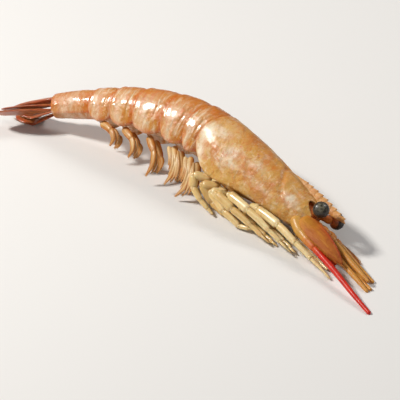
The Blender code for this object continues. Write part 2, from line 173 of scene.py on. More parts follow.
def bent(u, w, v):
    """A point of the straight prawn, bent along its spine and leaned over, in metres."""
    low = math.floor(u)
    t = u - low
    a, b = SPINE[low], SPINE[low + 1]
    x, z, slope = (a[k] + (b[k] - a[k]) * t for k in range(3))
    return POSE @ (Vector((x - math.sin(slope) * v, -w, z + math.cos(slope) * v)) * MM)


def on_prawn(u, w, v):
    """The same point, pressed up to the floor where it would be below it."""
    place = bent(u, w, v)
    place.z = max(place.z, 0.0)
    return place


print("eye socket at", [round(c * 1000, 1) for c in on_prawn(0, 0, 0)], "mm")

# %% [markdown]
# ## One tube for almost everything
# Shell rings, legs, feelers and tail blades are all tubes of changing section. A tube starts as Blender's
# cylinder. Subdividing its long edges gives it rings, and each ring is then moved to where it belongs.
# Two values are stored on every vertex for the finishes: "body", the place on the straight prawn in
# centimetres, and "paint", how pale, how red and how golden the shell is there.

# %% Tubes
random.seed(7)


def new_piece():
    """An empty mesh in the making, with room on each vertex for its place on the body and its paint."""
    bm = bmesh.new()
    bm.verts.layers.float_vector.new("body")
    bm.verts.layers.float_vector.new("paint")
    return bm


def layers_of(bm):
    """The two values that a mesh in the making keeps on its vertices."""
    return bm.verts.layers.float_vector["body"], bm.verts.layers.float_vector["paint"]


def add_tube(bm, sides, rows, spot):
    """Adds a closed tube of rows rings. spot(angle, row) gives a vertex its place, its body value and its paint.

    The new cylinder is a metre in radius, so its vertices are the ones far outside the prawn.
    """
    body, paint = layers_of(bm)
    tube = bmesh.ops.create_cone(bm, cap_ends=True, cap_tris=True, segments=sides, radius1=1, radius2=1, depth=2)
    long_edges = [e for v in tube["verts"] for e in v.link_edges if v.co.z < 0 < e.other_vert(v).co.z]
    bmesh.ops.subdivide_edges(bm, edges=long_edges, cuts=rows - 2, use_grid_fill=True)
    middles = []
    for vert in [v for v in bm.verts if v.co.length > 0.9]:
        x, y, z = vert.co
        row = round((z + 1) / 2 * (rows - 1))
        if math.hypot(x, y) < 0.5:
            middles.append(vert)
            continue
        vert.co, vert[body], vert[paint] = spot(math.degrees(math.atan2(x, y)), row)
    for vert in middles:
        ring = [e.other_vert(vert) for e in vert.link_edges]
        vert.co = sum((v.co for v in ring), Vector()) / len(ring)
        vert[body], vert[paint] = ring[0][body], ring[0][paint]


# %% [markdown]
# A mesh in the making becomes a piece when its faces are turned outwards and it gets a name, a finish and the
# body it rides on, and the solids in its place are hidden. It is the same for every piece, so one function does it.

# %% Finished pieces
def finish_piece(bm, name, material, slot, *nodes):
    """Turns the mesh into a piece that rides on the prawn and hides the named solids."""
    bmesh.ops.recalc_face_normals(bm, faces=bm.faces)
    mesh = bpy.data.meshes.new(name)
    bm.to_mesh(mesh)
    bm.free()
    mesh.shade_smooth()
    mesh.materials.append(material)
    piece = bpy.data.objects.new(name, mesh)
    bpy.context.scene.collection.objects.link(piece)
    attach(piece, "root")
    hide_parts(*nodes)
    print(name, len(mesh.polygons), "faces")


# %% [markdown]
# ## A helper for finishes
# Node materials are long to write out one node at a time. This small helper adds a node, sets or links its
# inputs and returns its output, so that a finish reads as a recipe.

# %% Finish helper
class Finish:
    """A Principled material that is put together one node at a time."""

    def __init__(self, name, **constants):
        self.material = bpy.data.materials.new(name)
        self.material.use_nodes = True
        self.tree = self.material.node_tree
        self.surface = self.tree.nodes["Principled BSDF"]
        for socket, value in constants.items():
            self.surface.inputs[socket.replace("_", " ")].default_value = value
        self.body = self.add("ShaderNodeAttribute", "Vector", attribute_name="body")
        paint = self.add("ShaderNodeAttribute", "Vector", attribute_name="paint")
        self.pale, self.red, self.gold = self.parts_of(paint)
        self.along, _, self.height = self.parts_of(self.body)

    def parts_of(self, vector):
        parts = self.tree.nodes.new("ShaderNodeSeparateXYZ")
        self.tree.links.new(vector, parts.inputs[0])
        return parts.outputs

    def feed(self, socket, value):
        """Links a socket to another one's value, or sets it."""
        if isinstance(value, bpy.types.NodeSocket):
            self.tree.links.new(value, socket)
        else:
            socket.default_value = value

    def add(self, kind, output, inputs=(), **settings):
        node = self.tree.nodes.new(kind)
        for key, value in settings.items():
            setattr(node, key, value)
        for key, value in dict(inputs).items():
            self.feed(node.inputs[key], value)
        return node.outputs[output]

    def cloud(self, scale, detail=3.0, roughness=0.5, distortion=0.0, where=None):
        """Cloudy noise. The scale counts clouds to a centimetre."""
        values = {"Scale": scale, "Detail": detail, "Roughness": roughness, "Distortion": distortion}
        return self.add("ShaderNodeTexNoise", "Fac", {"Vector": where or self.body, **values})

    def cells(self, scale):
        """Distance to the middle of the nearest of many small cells."""
        return self.add("ShaderNodeTexVoronoi", "Distance", {"Vector": self.body, "Scale": scale})

    def stretch(self, scale):
        return self.add("ShaderNodeVectorMath", "Vector", {0: self.body, 1: scale}, operation="MULTIPLY")

    def step(self, value, low, high, to_low=0.0, to_high=1.0):
        """A soft step from to_low to to_high, as the value goes from low to high."""
        values = {"Value": value, "From Min": low, "From Max": high, "To Min": to_low, "To Max": to_high}
        return self.add("ShaderNodeMapRange", "Result", values, interpolation_type="SMOOTHSTEP")

    def calc(self, operation, a, b=0.0):
        return self.add("ShaderNodeMath", "Value", {0: a, 1: b}, operation=operation)

    def mix(self, share, a, b):
        """Mixes two colours. The colour sockets of the Mix node are its numbers 6 and 7, its result is number 2."""
        values = {index: (*v, 1.0) if isinstance(v, tuple) else v for index, v in ((0, share), (6, a), (7, b))}
        return self.add("ShaderNodeMix", 2, values, data_type="RGBA")

    def layer(self, colour, mask, low, high, most, tint):
        """Lays a tint over a colour, by the share most where the mask passes from low to high."""
        return self.mix(self.step(mask, low, high, 0.0, most), colour, tint)

    def broken(self, paint, mask, low, high, least):
        """Paint that a mask breaks up, down to the share least."""
        return self.calc("MULTIPLY", paint, self.step(mask, low, high, least, 1.0))

    def wear(self, colour, roughness, bumps):
        """Links colour, roughness and a stack of (height, strength, distance) bumps to the surface."""
        self.feed(self.surface.inputs["Base Color"], colour)
        self.feed(self.surface.inputs["Roughness"], roughness)
        normal = None
        for height, strength, distance in bumps:
            values = {"Height": height, "Strength": strength, "Distance": distance}
            if normal:
                values["Normal"] = normal
            normal = self.add("ShaderNodeBump", "Normal", values)
        self.feed(self.surface.inputs["Normal"], normal)
        return self.material


# %% [markdown]
# ## The shell's finish
# Cooked shell is a thin translucent skin: tan where the flesh shines through, orange brown along the back, pale
# where it lifts off the flesh, with pink clouds, a fine milky and orange mottling, red veins and tiny red specks.
# The whitish paint on the vertices is partly painted highlight: a pale band along the upper side of each tail
# ring, and whitish spots near the hind edge of the head shell that are partly real and partly painted sheen.
# Each of these is one mask from a noise texture or from the paint on the vertices, laid over the ground colour
# one after the other. The tail has streaks across it as well, and more orange, which deepens towards its end;
# that deepening is partly the shell's own colour and partly painted shade.
# Wetness is a clear coat over a rougher surface, and a little subsurface scattering softens the shading.

# %% Shell finish
TAN = (0.62, 0.35, 0.09)
BACK_AND_SHADE_ORANGE = (0.54, 0.15, 0.008)
FLESH_BROWN = (0.50, 0.20, 0.045)
MILKY = (0.80, 0.66, 0.46)
PINK = (0.61, 0.23, 0.085)
VEIN_RED = (0.54, 0.10, 0.014)
GOLD = (0.68, 0.40, 0.085)
WHITISH_AND_HIGHLIGHT = (0.88, 0.78, 0.60)
RING_ORANGE = (0.58, 0.24, 0.03)
STREAK_ORANGE = (0.58, 0.145, 0.008)
MOTTLE_ORANGE = (0.58, 0.19, 0.02)


def shell_finish(name, ground, coat, roughness, back, film, streaks):
    """The finish of a stretch of shell: ground colour, wetness, roughness, orange back, milky film and streaks."""
    shell = Finish(
        name, Subsurface_Weight=0.12, Subsurface_Scale=0.0015, Subsurface_Radius=(1.0, 0.45, 0.25),
        Coat_Weight=coat, Coat_Roughness=0.12, IOR=1.36,
    )
    wide = shell.cloud(1.0, 2.0, 0.5, 0.3)
    flesh = shell.cloud(1.5, 4.0, 0.6, 0.3)
    clouds = shell.cloud(2.6, 4.0, 0.6, 0.4)
    skin = shell.cloud(1.9, 5.0, 0.62, 0.3, shell.stretch((0.75, 1.4, 1.4)))
    fine = shell.cloud(9.0, 5.0, 0.6)
    mottle = shell.cloud(5.5, 6.0, 0.7, 0.5, shell.stretch((1.6, 1.0, 1.0)))
    colour = shell.layer(ground, flesh, 0.46, 0.62, 0.75, FLESH_BROWN)
    colour = shell.layer(colour, clouds, 0.48, 0.64, 0.6, PINK)
    colour = shell.layer(colour, skin, 0.5, 0.68, film, MILKY)
    if streaks:
        streak = shell.cloud(1.0, 4.0, 0.6, 0.4, shell.stretch((5.5, 1.2, 1.2)))
        colour = shell.layer(colour, streak, 0.5, 0.7, streaks, MILKY)
        colour = shell.layer(colour, streak, 0.48, 0.36, streaks, STREAK_ORANGE)
        # Deeper orange towards the end of the tail: partly the shell's own colour, partly painted shade on the last
        # rings.
        colour = shell.layer(colour, shell.along, 8.6, 11.4, 0.55, BACK_AND_SHADE_ORANGE)
    colour = shell.mix(shell.broken(shell.gold, fine, 0.2, 0.6, 0.6), colour, GOLD)
    # Whitish paint: real pale shell, with painted highlights on the tail rings and painted sheen at the hind edge of
    # the head shell.
    colour = shell.mix(shell.broken(shell.pale, shell.cloud(4.0, 4.0, 0.6), 0.3, 0.6, 0.45), colour, WHITISH_AND_HIGHLIGHT)
    colour = shell.mix(shell.broken(shell.red, shell.cloud(5.0, 4.0, 0.6), 0.3, 0.6, 0.3), colour, VEIN_RED)
    colour = shell.layer(colour, mottle, 0.52, 0.68, 0.55, MILKY)
    colour = shell.layer(colour, mottle, 0.46, 0.34, 0.6, MOTTLE_ORANGE)
    rise = shell.calc("ADD", shell.height, shell.calc("MULTIPLY", wide, 0.5))
    colour = shell.layer(colour, rise, 0.6, 1.2, back, BACK_AND_SHADE_ORANGE)
    winding = shell.cloud(2.0, 3.0, 0.5, 1.2, shell.stretch((1.4, 1.0, 1.0)))
    vein = shell.step(shell.calc("ABSOLUTE", shell.calc("SUBTRACT", winding, 0.5)), 0.0, 0.014, 0.6, 0.0)
    colour = shell.mix(shell.calc("MULTIPLY", vein, shell.step(wide, 0.4, 0.55)), colour, VEIN_RED)
    specks = shell.calc(
        "MULTIPLY", shell.step(shell.cells(17.0), 0.16, 0.05), shell.step(shell.cloud(1.6, 2.0), 0.45, 0.65)
    )
    colour = shell.mix(shell.calc("MULTIPLY", specks, 0.7), colour, VEIN_RED)
    dents = shell.cloud(3.2, 2.0, 0.5, 0.3)
    return shell.wear(
        colour,
        shell.step(fine, 0.25, 0.75, roughness, roughness + 0.18),
        ((dents, 0.7, 0.0011), (fine, 0.35, 0.0003), (shell.cells(60.0), 0.12, 0.00008)),
    )


head_material = shell_finish("head_shell", TAN, coat=0.12, roughness=0.4, back=0.32, film=0.6, streaks=0.0)
ring_material = shell_finish("tail_shell", RING_ORANGE, coat=0.6, roughness=0.28, back=0.8, film=0.3, streaks=0.85)
print("head finish", len(head_material.node_tree.nodes), "nodes, tail finish", len(ring_material.node_tree.nodes))

# %% [markdown]
# ## Sections of the shell
# A prawn's shell is like a stocking over an oval: tall, flat sided, with a thin flap that hangs below each side.
# The outline is a table: for each angle from the back, how much of the flap's drop it takes and how far it leans.
# The body profile says how wide, high and deep the oval is at each station along the back.

# %% Shell sections
BODY_PROFILE = (
    (-4.0, 4.0, 8.0, 3.4), (0.0, 5.6, 8.9, 4.2), (6.0, 7.0, 9.8, 5.2), (16.0, 8.3, 10.7, 6.6),
    (30.0, 9.2, 11.5, 8.2), (48.0, 8.8, 11.3, 8.8), (56.0, 8.4, 10.9, 8.6), (68.0, 8.0, 10.2, 8.2),
    (82.0, 7.2, 9.0, 7.6), (93.0, 6.3, 7.8, 6.7), (103.0, 5.3, 6.6, 5.8), (121.0, 3.8, 4.9, 4.4),
)
SWING_BACK = (
    (16.0, 0.0), (48.0, 3.6), (56.0, 3.0), (68.0, 2.4), (82.0, 2.0), (93.0, 1.6), (103.0, 1.4), (121.0, 0.4),
)
OUTLINE = (
    (0, 0.0, 0.0), (14, 0.0, 0.0), (28, 0.0, 0.0), (43, 0.0, 0.0), (58, 0.0, 0.0), (74, 0.0, 0.02),
    (90, 0.04, 0.05), (106, 0.24, 0.1), (120, 0.64, 0.12), (131, 1.0, 0.1), (138, 1.0, 0.02),
    (145, 0.4, 0.0), (156, 0.0, 0.0), (168, 0.0, 0.0), (180, 0.0, 0.0),
)
ROUNDNESS = 0.82
SHELL_SIDES = 96
MM_PER_DEGREE = 0.15


def shell_point(u, angle, inset, flap, relief=0.0):
    """Place on the straight prawn of the shell at a station and an angle from the back, right side positive."""
    half_width, top, bottom = blend(BODY_PROFILE, u)
    drop, lean = blend(OUTLINE, abs(angle))
    a = math.radians(abs(angle))
    grow = relief - inset
    w = (half_width + grow) * max(0.0, math.sin(a)) ** ROUNDNESS + lean * flap
    v = math.cos(a) * ((top if abs(angle) < 90 else bottom) + grow) - drop * flap
    return u + blend(SWING_BACK, u) * math.sin(a) ** 2, w if angle >= 0 else -w, v


print("the widest station reaches", round(shell_point(30.0, 90.0, 0.0, 0.0)[1], 1), "mm to the side")


# %% Soft spots and lines
def held(value):
    """The value, held between 0 and 1."""
    return max(0.0, min(1.0, value))


def hump(value, middle, reach):
    """A smooth hump: 1 where the value is at its middle, next to nothing two reaches away."""
    return math.exp(-(((value - middle) / reach) ** 2))


def near(u, angle, spots):
    """How strongly a place lies on soft spots: (station, angle, reach in mm, reach in degrees, strength)."""
    most = 0.0
    for at, turn, reach, spread, strength in spots:
        far = ((u - at) / reach) ** 2 + ((abs(angle) - turn) / spread) ** 2
        if far < 6:
            most = max(most, strength * math.exp(-far))
    return most


def near_line(u, angle, line, reach):
    """How strongly a place lies on a line of (station, angle) points."""
    here = Vector((u, abs(angle) * MM_PER_DEGREE))
    least = 9.0
    for (u0, a0), (u1, a1) in zip(line, line[1:]):
        start, run = Vector((u0, a0 * MM_PER_DEGREE)), Vector((u1 - u0, (a1 - a0) * MM_PER_DEGREE))
        t = held((here - start).dot(run) / run.length_squared)
        least = min(least, (here - start - run * t).length)
    return math.exp(-((least / reach) ** 2))


print("a groove half a millimetre away still shows at", round(near_line(0.5, 0, ((0, 0), (0, 9)), 0.9), 2))

# %% [markdown]
# ## The head shell
# It is open in front, where eyes and feelers come out, and behind, where the first tail ring enters. The front
# edge is notched for the eye and points forward below it. Grooves and swellings are real relief here, because
# they catch the light. The rim is folded in, so that the shell shows its thickness.

# %% Edges, grooves and spots of the head shell
HEAD_END = 48.0
HEAD_FLAP = (
    (-4.0, 0.2), (2.0, 0.9), (12.0, 1.3), (20.0, 1.9), (28.0, 3.0), (36.0, 4.6), (41.0, 3.9), (45.0, 1.9),
    (48.0, 0.2),
)
FRONT_EDGE = (
    (0.0, -3.6), (14.0, -2.6), (26.0, -0.4), (40.0, -0.2), (52.0, -2.2), (62.0, -4.6), (72.0, -3.9),
    (90.0, -3.8), (112.0, -4.2), (130.0, -3.6), (145.0, -1.0), (180.0, 1.0),
)
SIDE_GROOVE = ((33.0, 84), (30.0, 84), (21.0, 88), (14.5, 82), (9.0, 80), (4.0, 84))
NECK_GROOVE = ((17.0, 12), (15.0, 34), (12.0, 56), (9.0, 78))
CREST_GROOVE = ((24.0, 9), (2.0, 12))
LOWER_RIDGE = ((2.0, 124), (20.0, 127), (38.0, 129))
HIND_RIM = ((48.0, 0), (48.0, 104))
SWELLINGS = ((33, 106, 9, 14, 1.0), (5, 72, 3, 9, 0.9), (18, 108, 6, 10, 0.7))
# Pale spots. Those near the hind edge of the head shell are partly real pale shell and partly a painted sheen.
PALE_AND_SHEEN_SPOTS = (
    (45.0, 78, 2.4, 14, 0.9), (45.6, 100, 2.0, 14, 1.0), (44.5, 120, 2.6, 12, 1.0), (41.5, 64, 3.2, 10, 0.75),
    (32.5, 86, 2.6, 13, 1.0), (29.0, 98, 2.2, 7, 0.55), (5.0, 72, 2.8, 12, 1.0), (-2.2, 102, 1.4, 9, 0.8),
    (-3.6, 132, 1.4, 9, 0.6), (14.0, 98, 3.0, 8, 0.35), (22.0, 70, 3.0, 7, 0.35),
    (41.0, 44, 4.5, 11, 0.28),
)
RED_SPOTS = (
    (39.5, 96, 3.2, 12, 0.45), (28.0, 76, 3.2, 7, 0.4), (22.0, 106, 8.0, 8, 0.22), (20.0, 40, 4.0, 8, 0.2),
    (34.0, 30, 4.0, 9, 0.25), (10.0, 88, 3.0, 7, 0.3), (1.0, 112, 3.0, 8, 0.35),
)
GOLD_SPOTS = (
    (42.0, 46, 5.0, 16, 0.85), (31.0, 128, 5.0, 10, 0.8), (24.0, 116, 4.0, 8, 0.5),
    (14.0, 20, 12.0, 20, 0.45), (-1.0, 60, 4.0, 25, 0.8),
)
print(len(PALE_AND_SHEEN_SPOTS), "pale,", len(RED_SPOTS), "red and", len(GOLD_SPOTS), "golden spots")


# %% Head shell
def head_relief(u, angle):
    """Millimetres by which the head shell swells or sinks."""
    turn = abs(angle)
    rough = noise.fractal(Vector((u * 0.18, angle * 0.03, 3.0)), 1.0, 2.0, 4)
    return (
        0.12 * rough - 0.14
        - 0.5 * near_line(u, turn, SIDE_GROOVE, 0.9)
        - 0.4 * near_line(u, turn, NECK_GROOVE, 0.9)
        - 0.22 * near_line(u, turn, CREST_GROOVE, 0.5)
        + 0.34 * near(u, turn, SWELLINGS)
        + 0.12 * near_line(u, turn, LOWER_RIDGE, 0.5)
    )


# Each ring of the head shell: share of the way from the front edge to the hind edge, and inset in mm.
OUTER_RINGS = 110
RIM_FLAP = 0.2
INNER_FLAP = 0.15
HEAD_ROWS = [
    (0.30, 1.9), (0.16, 1.3), (0.05, 0.75), (0.012, 0.5), (0.0, 0.34), (-0.002, 0.16), (0.002, 0.03),
    *((k / OUTER_RINGS, 0.0) for k in range(1, OUTER_RINGS)),
    (0.9975, 0.0), (1.0, 0.1), (1.001, 0.24), (0.999, 0.36), (0.97, 0.5), (0.92, 1.0),
]


def head_spot(angle, row):
    share, inset = HEAD_ROWS[row]
    edge = blend(FRONT_EDGE, abs(angle))
    u = edge + (HEAD_END - edge) * share
    outside = inset < 0.2
    flap = blend(HEAD_FLAP, u) if 0 <= share <= 1 else RIM_FLAP
    if not outside and share > 0.5:
        flap = INNER_FLAP
    relief = head_relief(u, angle) if outside else 0.0
    place = shell_point(u, angle, inset, flap, relief)
    red = max(
        near(u, angle, RED_SPOTS), 0.3 * near_line(u, angle, SIDE_GROOVE, 1.4),
        0.45 * near_line(u, angle, HIND_RIM, 0.9), 0.4 * near_line(u, angle, NECK_GROOVE, 1.2),
    )
    paint = Vector((near(u, angle, PALE_AND_SHEEN_SPOTS), red, near(u, angle, GOLD_SPOTS)))
    return on_prawn(*place), Vector(place) / 10, paint


bm = new_piece()
add_tube(bm, SHELL_SIDES, len(HEAD_ROWS), head_spot)
print("head shell", len(bm.verts), "vertices")

# %% [markdown]
# The beak is a thin upright blade with a row of teeth that point forward. It is one more tube, very narrow, and
# its upper edge rises and drops like a saw. It runs back along the crest as a low keel.

# %% Beak
BEAK_TIP = -15.5
BEAK_ROOT = 20.0
BEAK_ROWS = 190
BEAK_LOWER_EDGE = (
    (-15.5, 9.4), (-11.5, 8.6), (-7.0, 7.9), (-3.0, 6.6), (4.0, 6.6), (12.0, 8.0), (20.0, 9.0),
)
TEETH = 9
TEETH_START = 1.6
TEETH_LENGTH = 24.5
TOOTH_SLOPE = 0.85
TOOTH_HEIGHT = 0.7
TOOTH_LEAN = 0.5


def tooth_height(from_tip):
    """Height of the saw at a distance from the tip: a long slope, then a steep front, 0 where there are no teeth."""
    saw = max(0.0, min(0.999, (from_tip - TEETH_START) / TEETH_LENGTH))
    if not 0 < saw < 0.999:
        return 0.0
    phase = saw * TEETH % 1.0
    return 1.0 - phase / TOOTH_SLOPE if phase < TOOTH_SLOPE else (phase - TOOTH_SLOPE) / (1 - TOOTH_SLOPE)


def beak_spot(angle, row):
    t = row / (BEAK_ROWS - 1)
    u = BEAK_TIP + (BEAK_ROOT - BEAK_TIP) * t
    from_tip = u - BEAK_TIP
    crest = 11.5 - 0.0036 * (u - 2.0) ** 2 - 0.0042 * max(0.0, u - 8.0) ** 2
    tooth = tooth_height(from_tip)
    low = blend(BEAK_LOWER_EDGE, u)
    high = crest - 0.25 + TOOTH_HEIGHT * tooth * (1.0 - 0.4 * max(0.0, u) / 10)
    if from_tip < TEETH_START:
        high = low + (high - low) * (from_tip / TEETH_START) ** 0.7
    a = math.radians(angle)
    upward = max(0.0, math.cos(a))
    half = (0.28 + 0.5 * held(from_tip / 14.0)) * min(1.0, 0.15 + t * 20)
    v = (high + low) / 2 + math.cos(a) * (high - low) / 2
    w = math.copysign(abs(math.sin(a)) ** 0.8, angle) * half * (1.0 - 0.45 * upward)
    place = (u - TOOTH_LEAN * tooth * upward ** 8, w, v)
    return on_prawn(*place), Vector(place) / 10, Vector((0.1 + 0.35 * upward ** 6, 0.1, 0.5))


add_tube(bm, 20, BEAK_ROWS, beak_spot)
finish_piece(bm, "head_shell", head_material, "shell", "carapace")

# %% [markdown]
# ## The six tail rings
# Each ring tucks under the one before it, rises to its full width, hangs down in a rounded lobe on each side and
# ends in a thin rim that covers the next. A low knob near the rim, half way up, is the hinge between two rings.

# %% Tail rings
RING_LENGTHS = (8.0, 12.0, 14.0, 11.0, 10.0, 18.0)
RING_FLAPS = (2.8, 3.5, 3.5, 3.2, 2.8, 0.5)
RING_STARTS = [HEAD_END]
for length in RING_LENGTHS:
    RING_STARTS.append(RING_STARTS[-1] + length)
OUTER_ROWS = 44


def tail_ring(number):
    start, length, lobe_drop = RING_STARTS[number], RING_LENGTHS[number], RING_FLAPS[number]
    front_groove = ((start + length * 0.2, 0), (start + length * 0.26, 100))
    side_groove = ((start + length * 0.45, 100), (start + length * 0.55, 132))
    hinge_knob = ((start + length - 1.6, 99, 0.9, 6, 1.0),)
    # Each ring of the tube: millimetres behind the start of the tail ring, and inset, or None on the outside.
    rows = [
        (-2.4, 1.6), (-1.8, 1.1), (-1.0, 0.7), (0.0, 0.55),
        *((length * k / OUTER_ROWS, None) for k in range(1, OUTER_ROWS)),
        (length - 0.05, 0.0), (length, 0.08), (length + 0.03, 0.2), (length - 0.02, 0.33), (length - 1.3, 0.5),
        (length - 2.6, 1.1),
    ]

    def spot(angle, row):
        ahead, inset = rows[row]
        u, t, turn = start + ahead, ahead / length, abs(angle)
        relief = flap = 0.0
        if inset in (None, 0.0, 0.08):
            rise = math.sin(math.pi * min(1.0, max(0.0, t) * 1.6) / 2)
            inset = (inset or 0.0) + 0.55 * (1 - rise)
            flap = lobe_drop * max(0.02, math.sin(math.pi * (0.03 + 0.94 * min(1.0, t)))) ** 0.55
            rough = noise.fractal(Vector((u * 0.2, angle * 0.03, 7.0 + number)), 1.0, 2.0, 4)
            relief = (
                0.1 * rough - 0.16
                - 0.18 * near_line(u, turn, front_groove, 0.5)
                + 0.26 * near(u, turn, hinge_knob)
                + 0.10 * hump(t, 0.93, 0.05)
                - 0.14 * near_line(u, turn, side_groove, 0.5)
            )
        place = shell_point(u, angle, inset, flap, relief)
        rim = hump(t, 1.0, 0.07) if t > 0 else 0.0
        lobe = held((turn - 100) / 25) * held((146 - turn) / 8)
        edge = near_line(turn * MM_PER_DEGREE, 0, ((131 * MM_PER_DEGREE, 0), (134 * MM_PER_DEGREE, 0)), 0.5)
        # A painted highlight: a pale band along the upper side of the ring, where the wet shell mirrors the lamp.
        highlight_band = 0.22 * hump(turn, 60, 20) * hump(t, 0.55, 0.3)
        pale = max(highlight_band, 0.45 * hump(t, 0.62, 0.2) * held((turn - 50) / 25))
        red = 0.75 * rim * (1.0 if turn < 110 else 0.4) + 0.6 * max(0.0, 1 - t / 0.18) + 0.6 * edge
        return on_prawn(*place), Vector(place) / 10, Vector((min(1, pale), min(1, red), 0.15 * lobe))

    bm = new_piece()
    add_tube(bm, SHELL_SIDES, len(rows), spot)
    finish_piece(bm, f"tail_ring_{number + 1}", ring_material, "shell", f"tail_segment_{number + 1}")


for number in range(6):
    tail_ring(number)

# %% [markdown]
# ## Limbs: a path, rings and round ends
# Legs and feelers follow a path. The path is smoothed and walked in equal steps, and rings are set square to it.
# Turning each ring only as far as the path itself turns keeps a limb from twisting. The last rings shrink, so
# that every end is round like a real joint. Pieces of a limb overlap a little, as shell tubes do at a joint.

# %% Limb helpers
SIDEWAYS = (on_prawn(0, 5, 5) - on_prawn(0, 0, 5)).normalized()
FINE_STEPS = 40
END_RINGS = (0.0, 0.06, 0.22, 0.5)
WHITE_HAIR = Vector((0.8, 0.0, 0.2))
print("the prawn's side faces", [round(c, 2) for c in SIDEWAYS])


def walk_path(points, radii, step):
    """Stations (place, radius in mm, way in mm) along a smooth path through points of the straight prawn."""
    rows = [(float(i), *p, r) for i, (p, r) in enumerate(zip(points, radii))]
    parts = FINE_STEPS * (len(points) - 1)
    dense = [blend(rows, k / FINE_STEPS) for k in range(parts + 1)]
    places = [on_prawn(*row[:3]) for row in dense]
    ways = [0.0]
    for a, b in zip(places, places[1:]):
        ways.append(ways[-1] + (b - a).length * 1000)
    total, stations, k = ways[-1], [], 0
    first, last = radii[0], radii[-1]
    count = max(6, round(total / step))
    stops = [s * first for s in END_RINGS]
    stops += [s for s in (total * i / count for i in range(count + 1)) if 0.8 * first < s < total - 0.8 * last]
    stops += [total - s * last for s in reversed(END_RINGS)]
    for stop in stops:
        while k < parts - 1 and ways[k + 1] < stop:
            k += 1
        t = (stop - ways[k]) / max(1e-9, ways[k + 1] - ways[k])
        radius = dense[k][3] + (dense[k + 1][3] - dense[k][3]) * t
        for from_end, size in ((stop, first), (total - stop, last)):
            radius *= math.sqrt(1 - (1 - min(1.0, from_end / size + 0.03)) ** 2)
        stations.append((places[k].lerp(places[k + 1], t), radius, stop))
    return stations


def add_limb(bm, stations, sides, flat=1.0, offset=0.0, paint=(0.0, 0.0, 0.0), shape=None):
    """Adds a tube around stations, squeezed along the prawn's width by flat.

    offset moves its pattern along. paint is three values or gives them for an angle and a share of the length,
    and shape(angle, way) scales the radius.
    """
    frames, side = [], SIDEWAYS
    for k in range(len(stations)):
        ahead = (stations[min(k + 1, len(stations) - 1)][0] - stations[max(k - 1, 0)][0]).normalized()
        side = (side - ahead * side.dot(ahead)).normalized()
        frames.append((side, ahead.cross(side)))

    def spot(angle, row):
        place, radius, way = stations[row]
        side, other = frames[row]
        a = math.radians(angle)
        size = radius * (shape(angle, way) if shape else 1.0)
        at = place + (side * math.cos(a) * flat + other * math.sin(a)) * size * MM
        at.z = max(at.z, 0.0)
        mark = paint(angle, way / stations[-1][2]) if callable(paint) else paint
        return at, Vector((offset + way / 10, size * math.cos(a) / 10, size * math.sin(a) / 10)), Vector(mark)

    add_tube(bm, sides, len(stations), spot)


# %% Bristles
def add_hair(bm, root, tip, width):
    """Adds one bristle: a three sided cone from root to tip."""
    body, paint = layers_of(bm)
    run = tip - root
    cone = bmesh.ops.create_cone(
        bm, cap_ends=True, segments=3, radius1=width * MM, radius2=width * 0.2 * MM, depth=run.length,
        matrix=Matrix.Translation((root + tip) / 2) @ run.to_track_quat("Z", "Y").to_matrix().to_4x4(),
    )
    for vert in cone["verts"]:
        vert.co.z = max(vert.co.z, 0.0)
        vert[body], vert[paint] = vert.co * 100, WHITE_HAIR


# %% [markdown]
# ## Finishes of the limbs
# Legs are creamy and a little clear, feelers bright red, the swimming legs and the leaves beside the eyes orange
# brown. They share one recipe with four colours each: a cloudy ground, with dark clouds and light strands in it,
# and warm specks. The paint on the vertices then makes places lighter, warmer or darker. A wet coat, a fine grain
# and, on some, ridges along the limb finish it.

# %% Limb finishes
def limb_finish(
    name, ground, dark, light, warm, *, roughness, coat=0.4, specks=0.5, ridges=0.0, soft=0.2, strands=0.4
):
    finish = Finish(
        name, Subsurface_Weight=soft, Subsurface_Scale=0.001, Subsurface_Radius=(1.0, 0.5, 0.3),
        Coat_Weight=coat, Coat_Roughness=0.15, IOR=1.38,
    )
    cloud = finish.cloud(4.0, 4.0, 0.6, 0.5)
    strand = finish.cloud(2.5, 3.0, 0.6, 0.3, finish.stretch((0.5, 5.0, 5.0)))
    fine = finish.cloud(16.0, 4.0, 0.6)
    colour = finish.layer(ground, cloud, 0.35, 0.7, 1.0, dark)
    colour = finish.layer(colour, strand, 0.48, 0.68, strands, light)
    colour = finish.mix(finish.gold, colour, dark)
    colour = finish.mix(finish.broken(finish.pale, fine, 0.2, 0.6, 0.5), colour, light)
    colour = finish.mix(finish.broken(finish.red, fine, 0.2, 0.6, 0.6), colour, warm)
    dots = finish.calc("MULTIPLY", finish.step(finish.cells(26.0), 0.2, 0.06), finish.step(cloud, 0.4, 0.6))
    colour = finish.mix(finish.calc("MULTIPLY", dots, specks), colour, warm)
    bumps = [(cloud, 0.2, 0.0004), (fine, 0.3, 0.0002)]
    if ridges:
        bumps.append((finish.cloud(6.0, 2.0, 0.5, 0.0, finish.stretch((0.5, 6.0, 6.0))), ridges, 0.0003))
    return finish.wear(colour, finish.step(fine, 0.3, 0.7, roughness, roughness + 0.16), bumps)


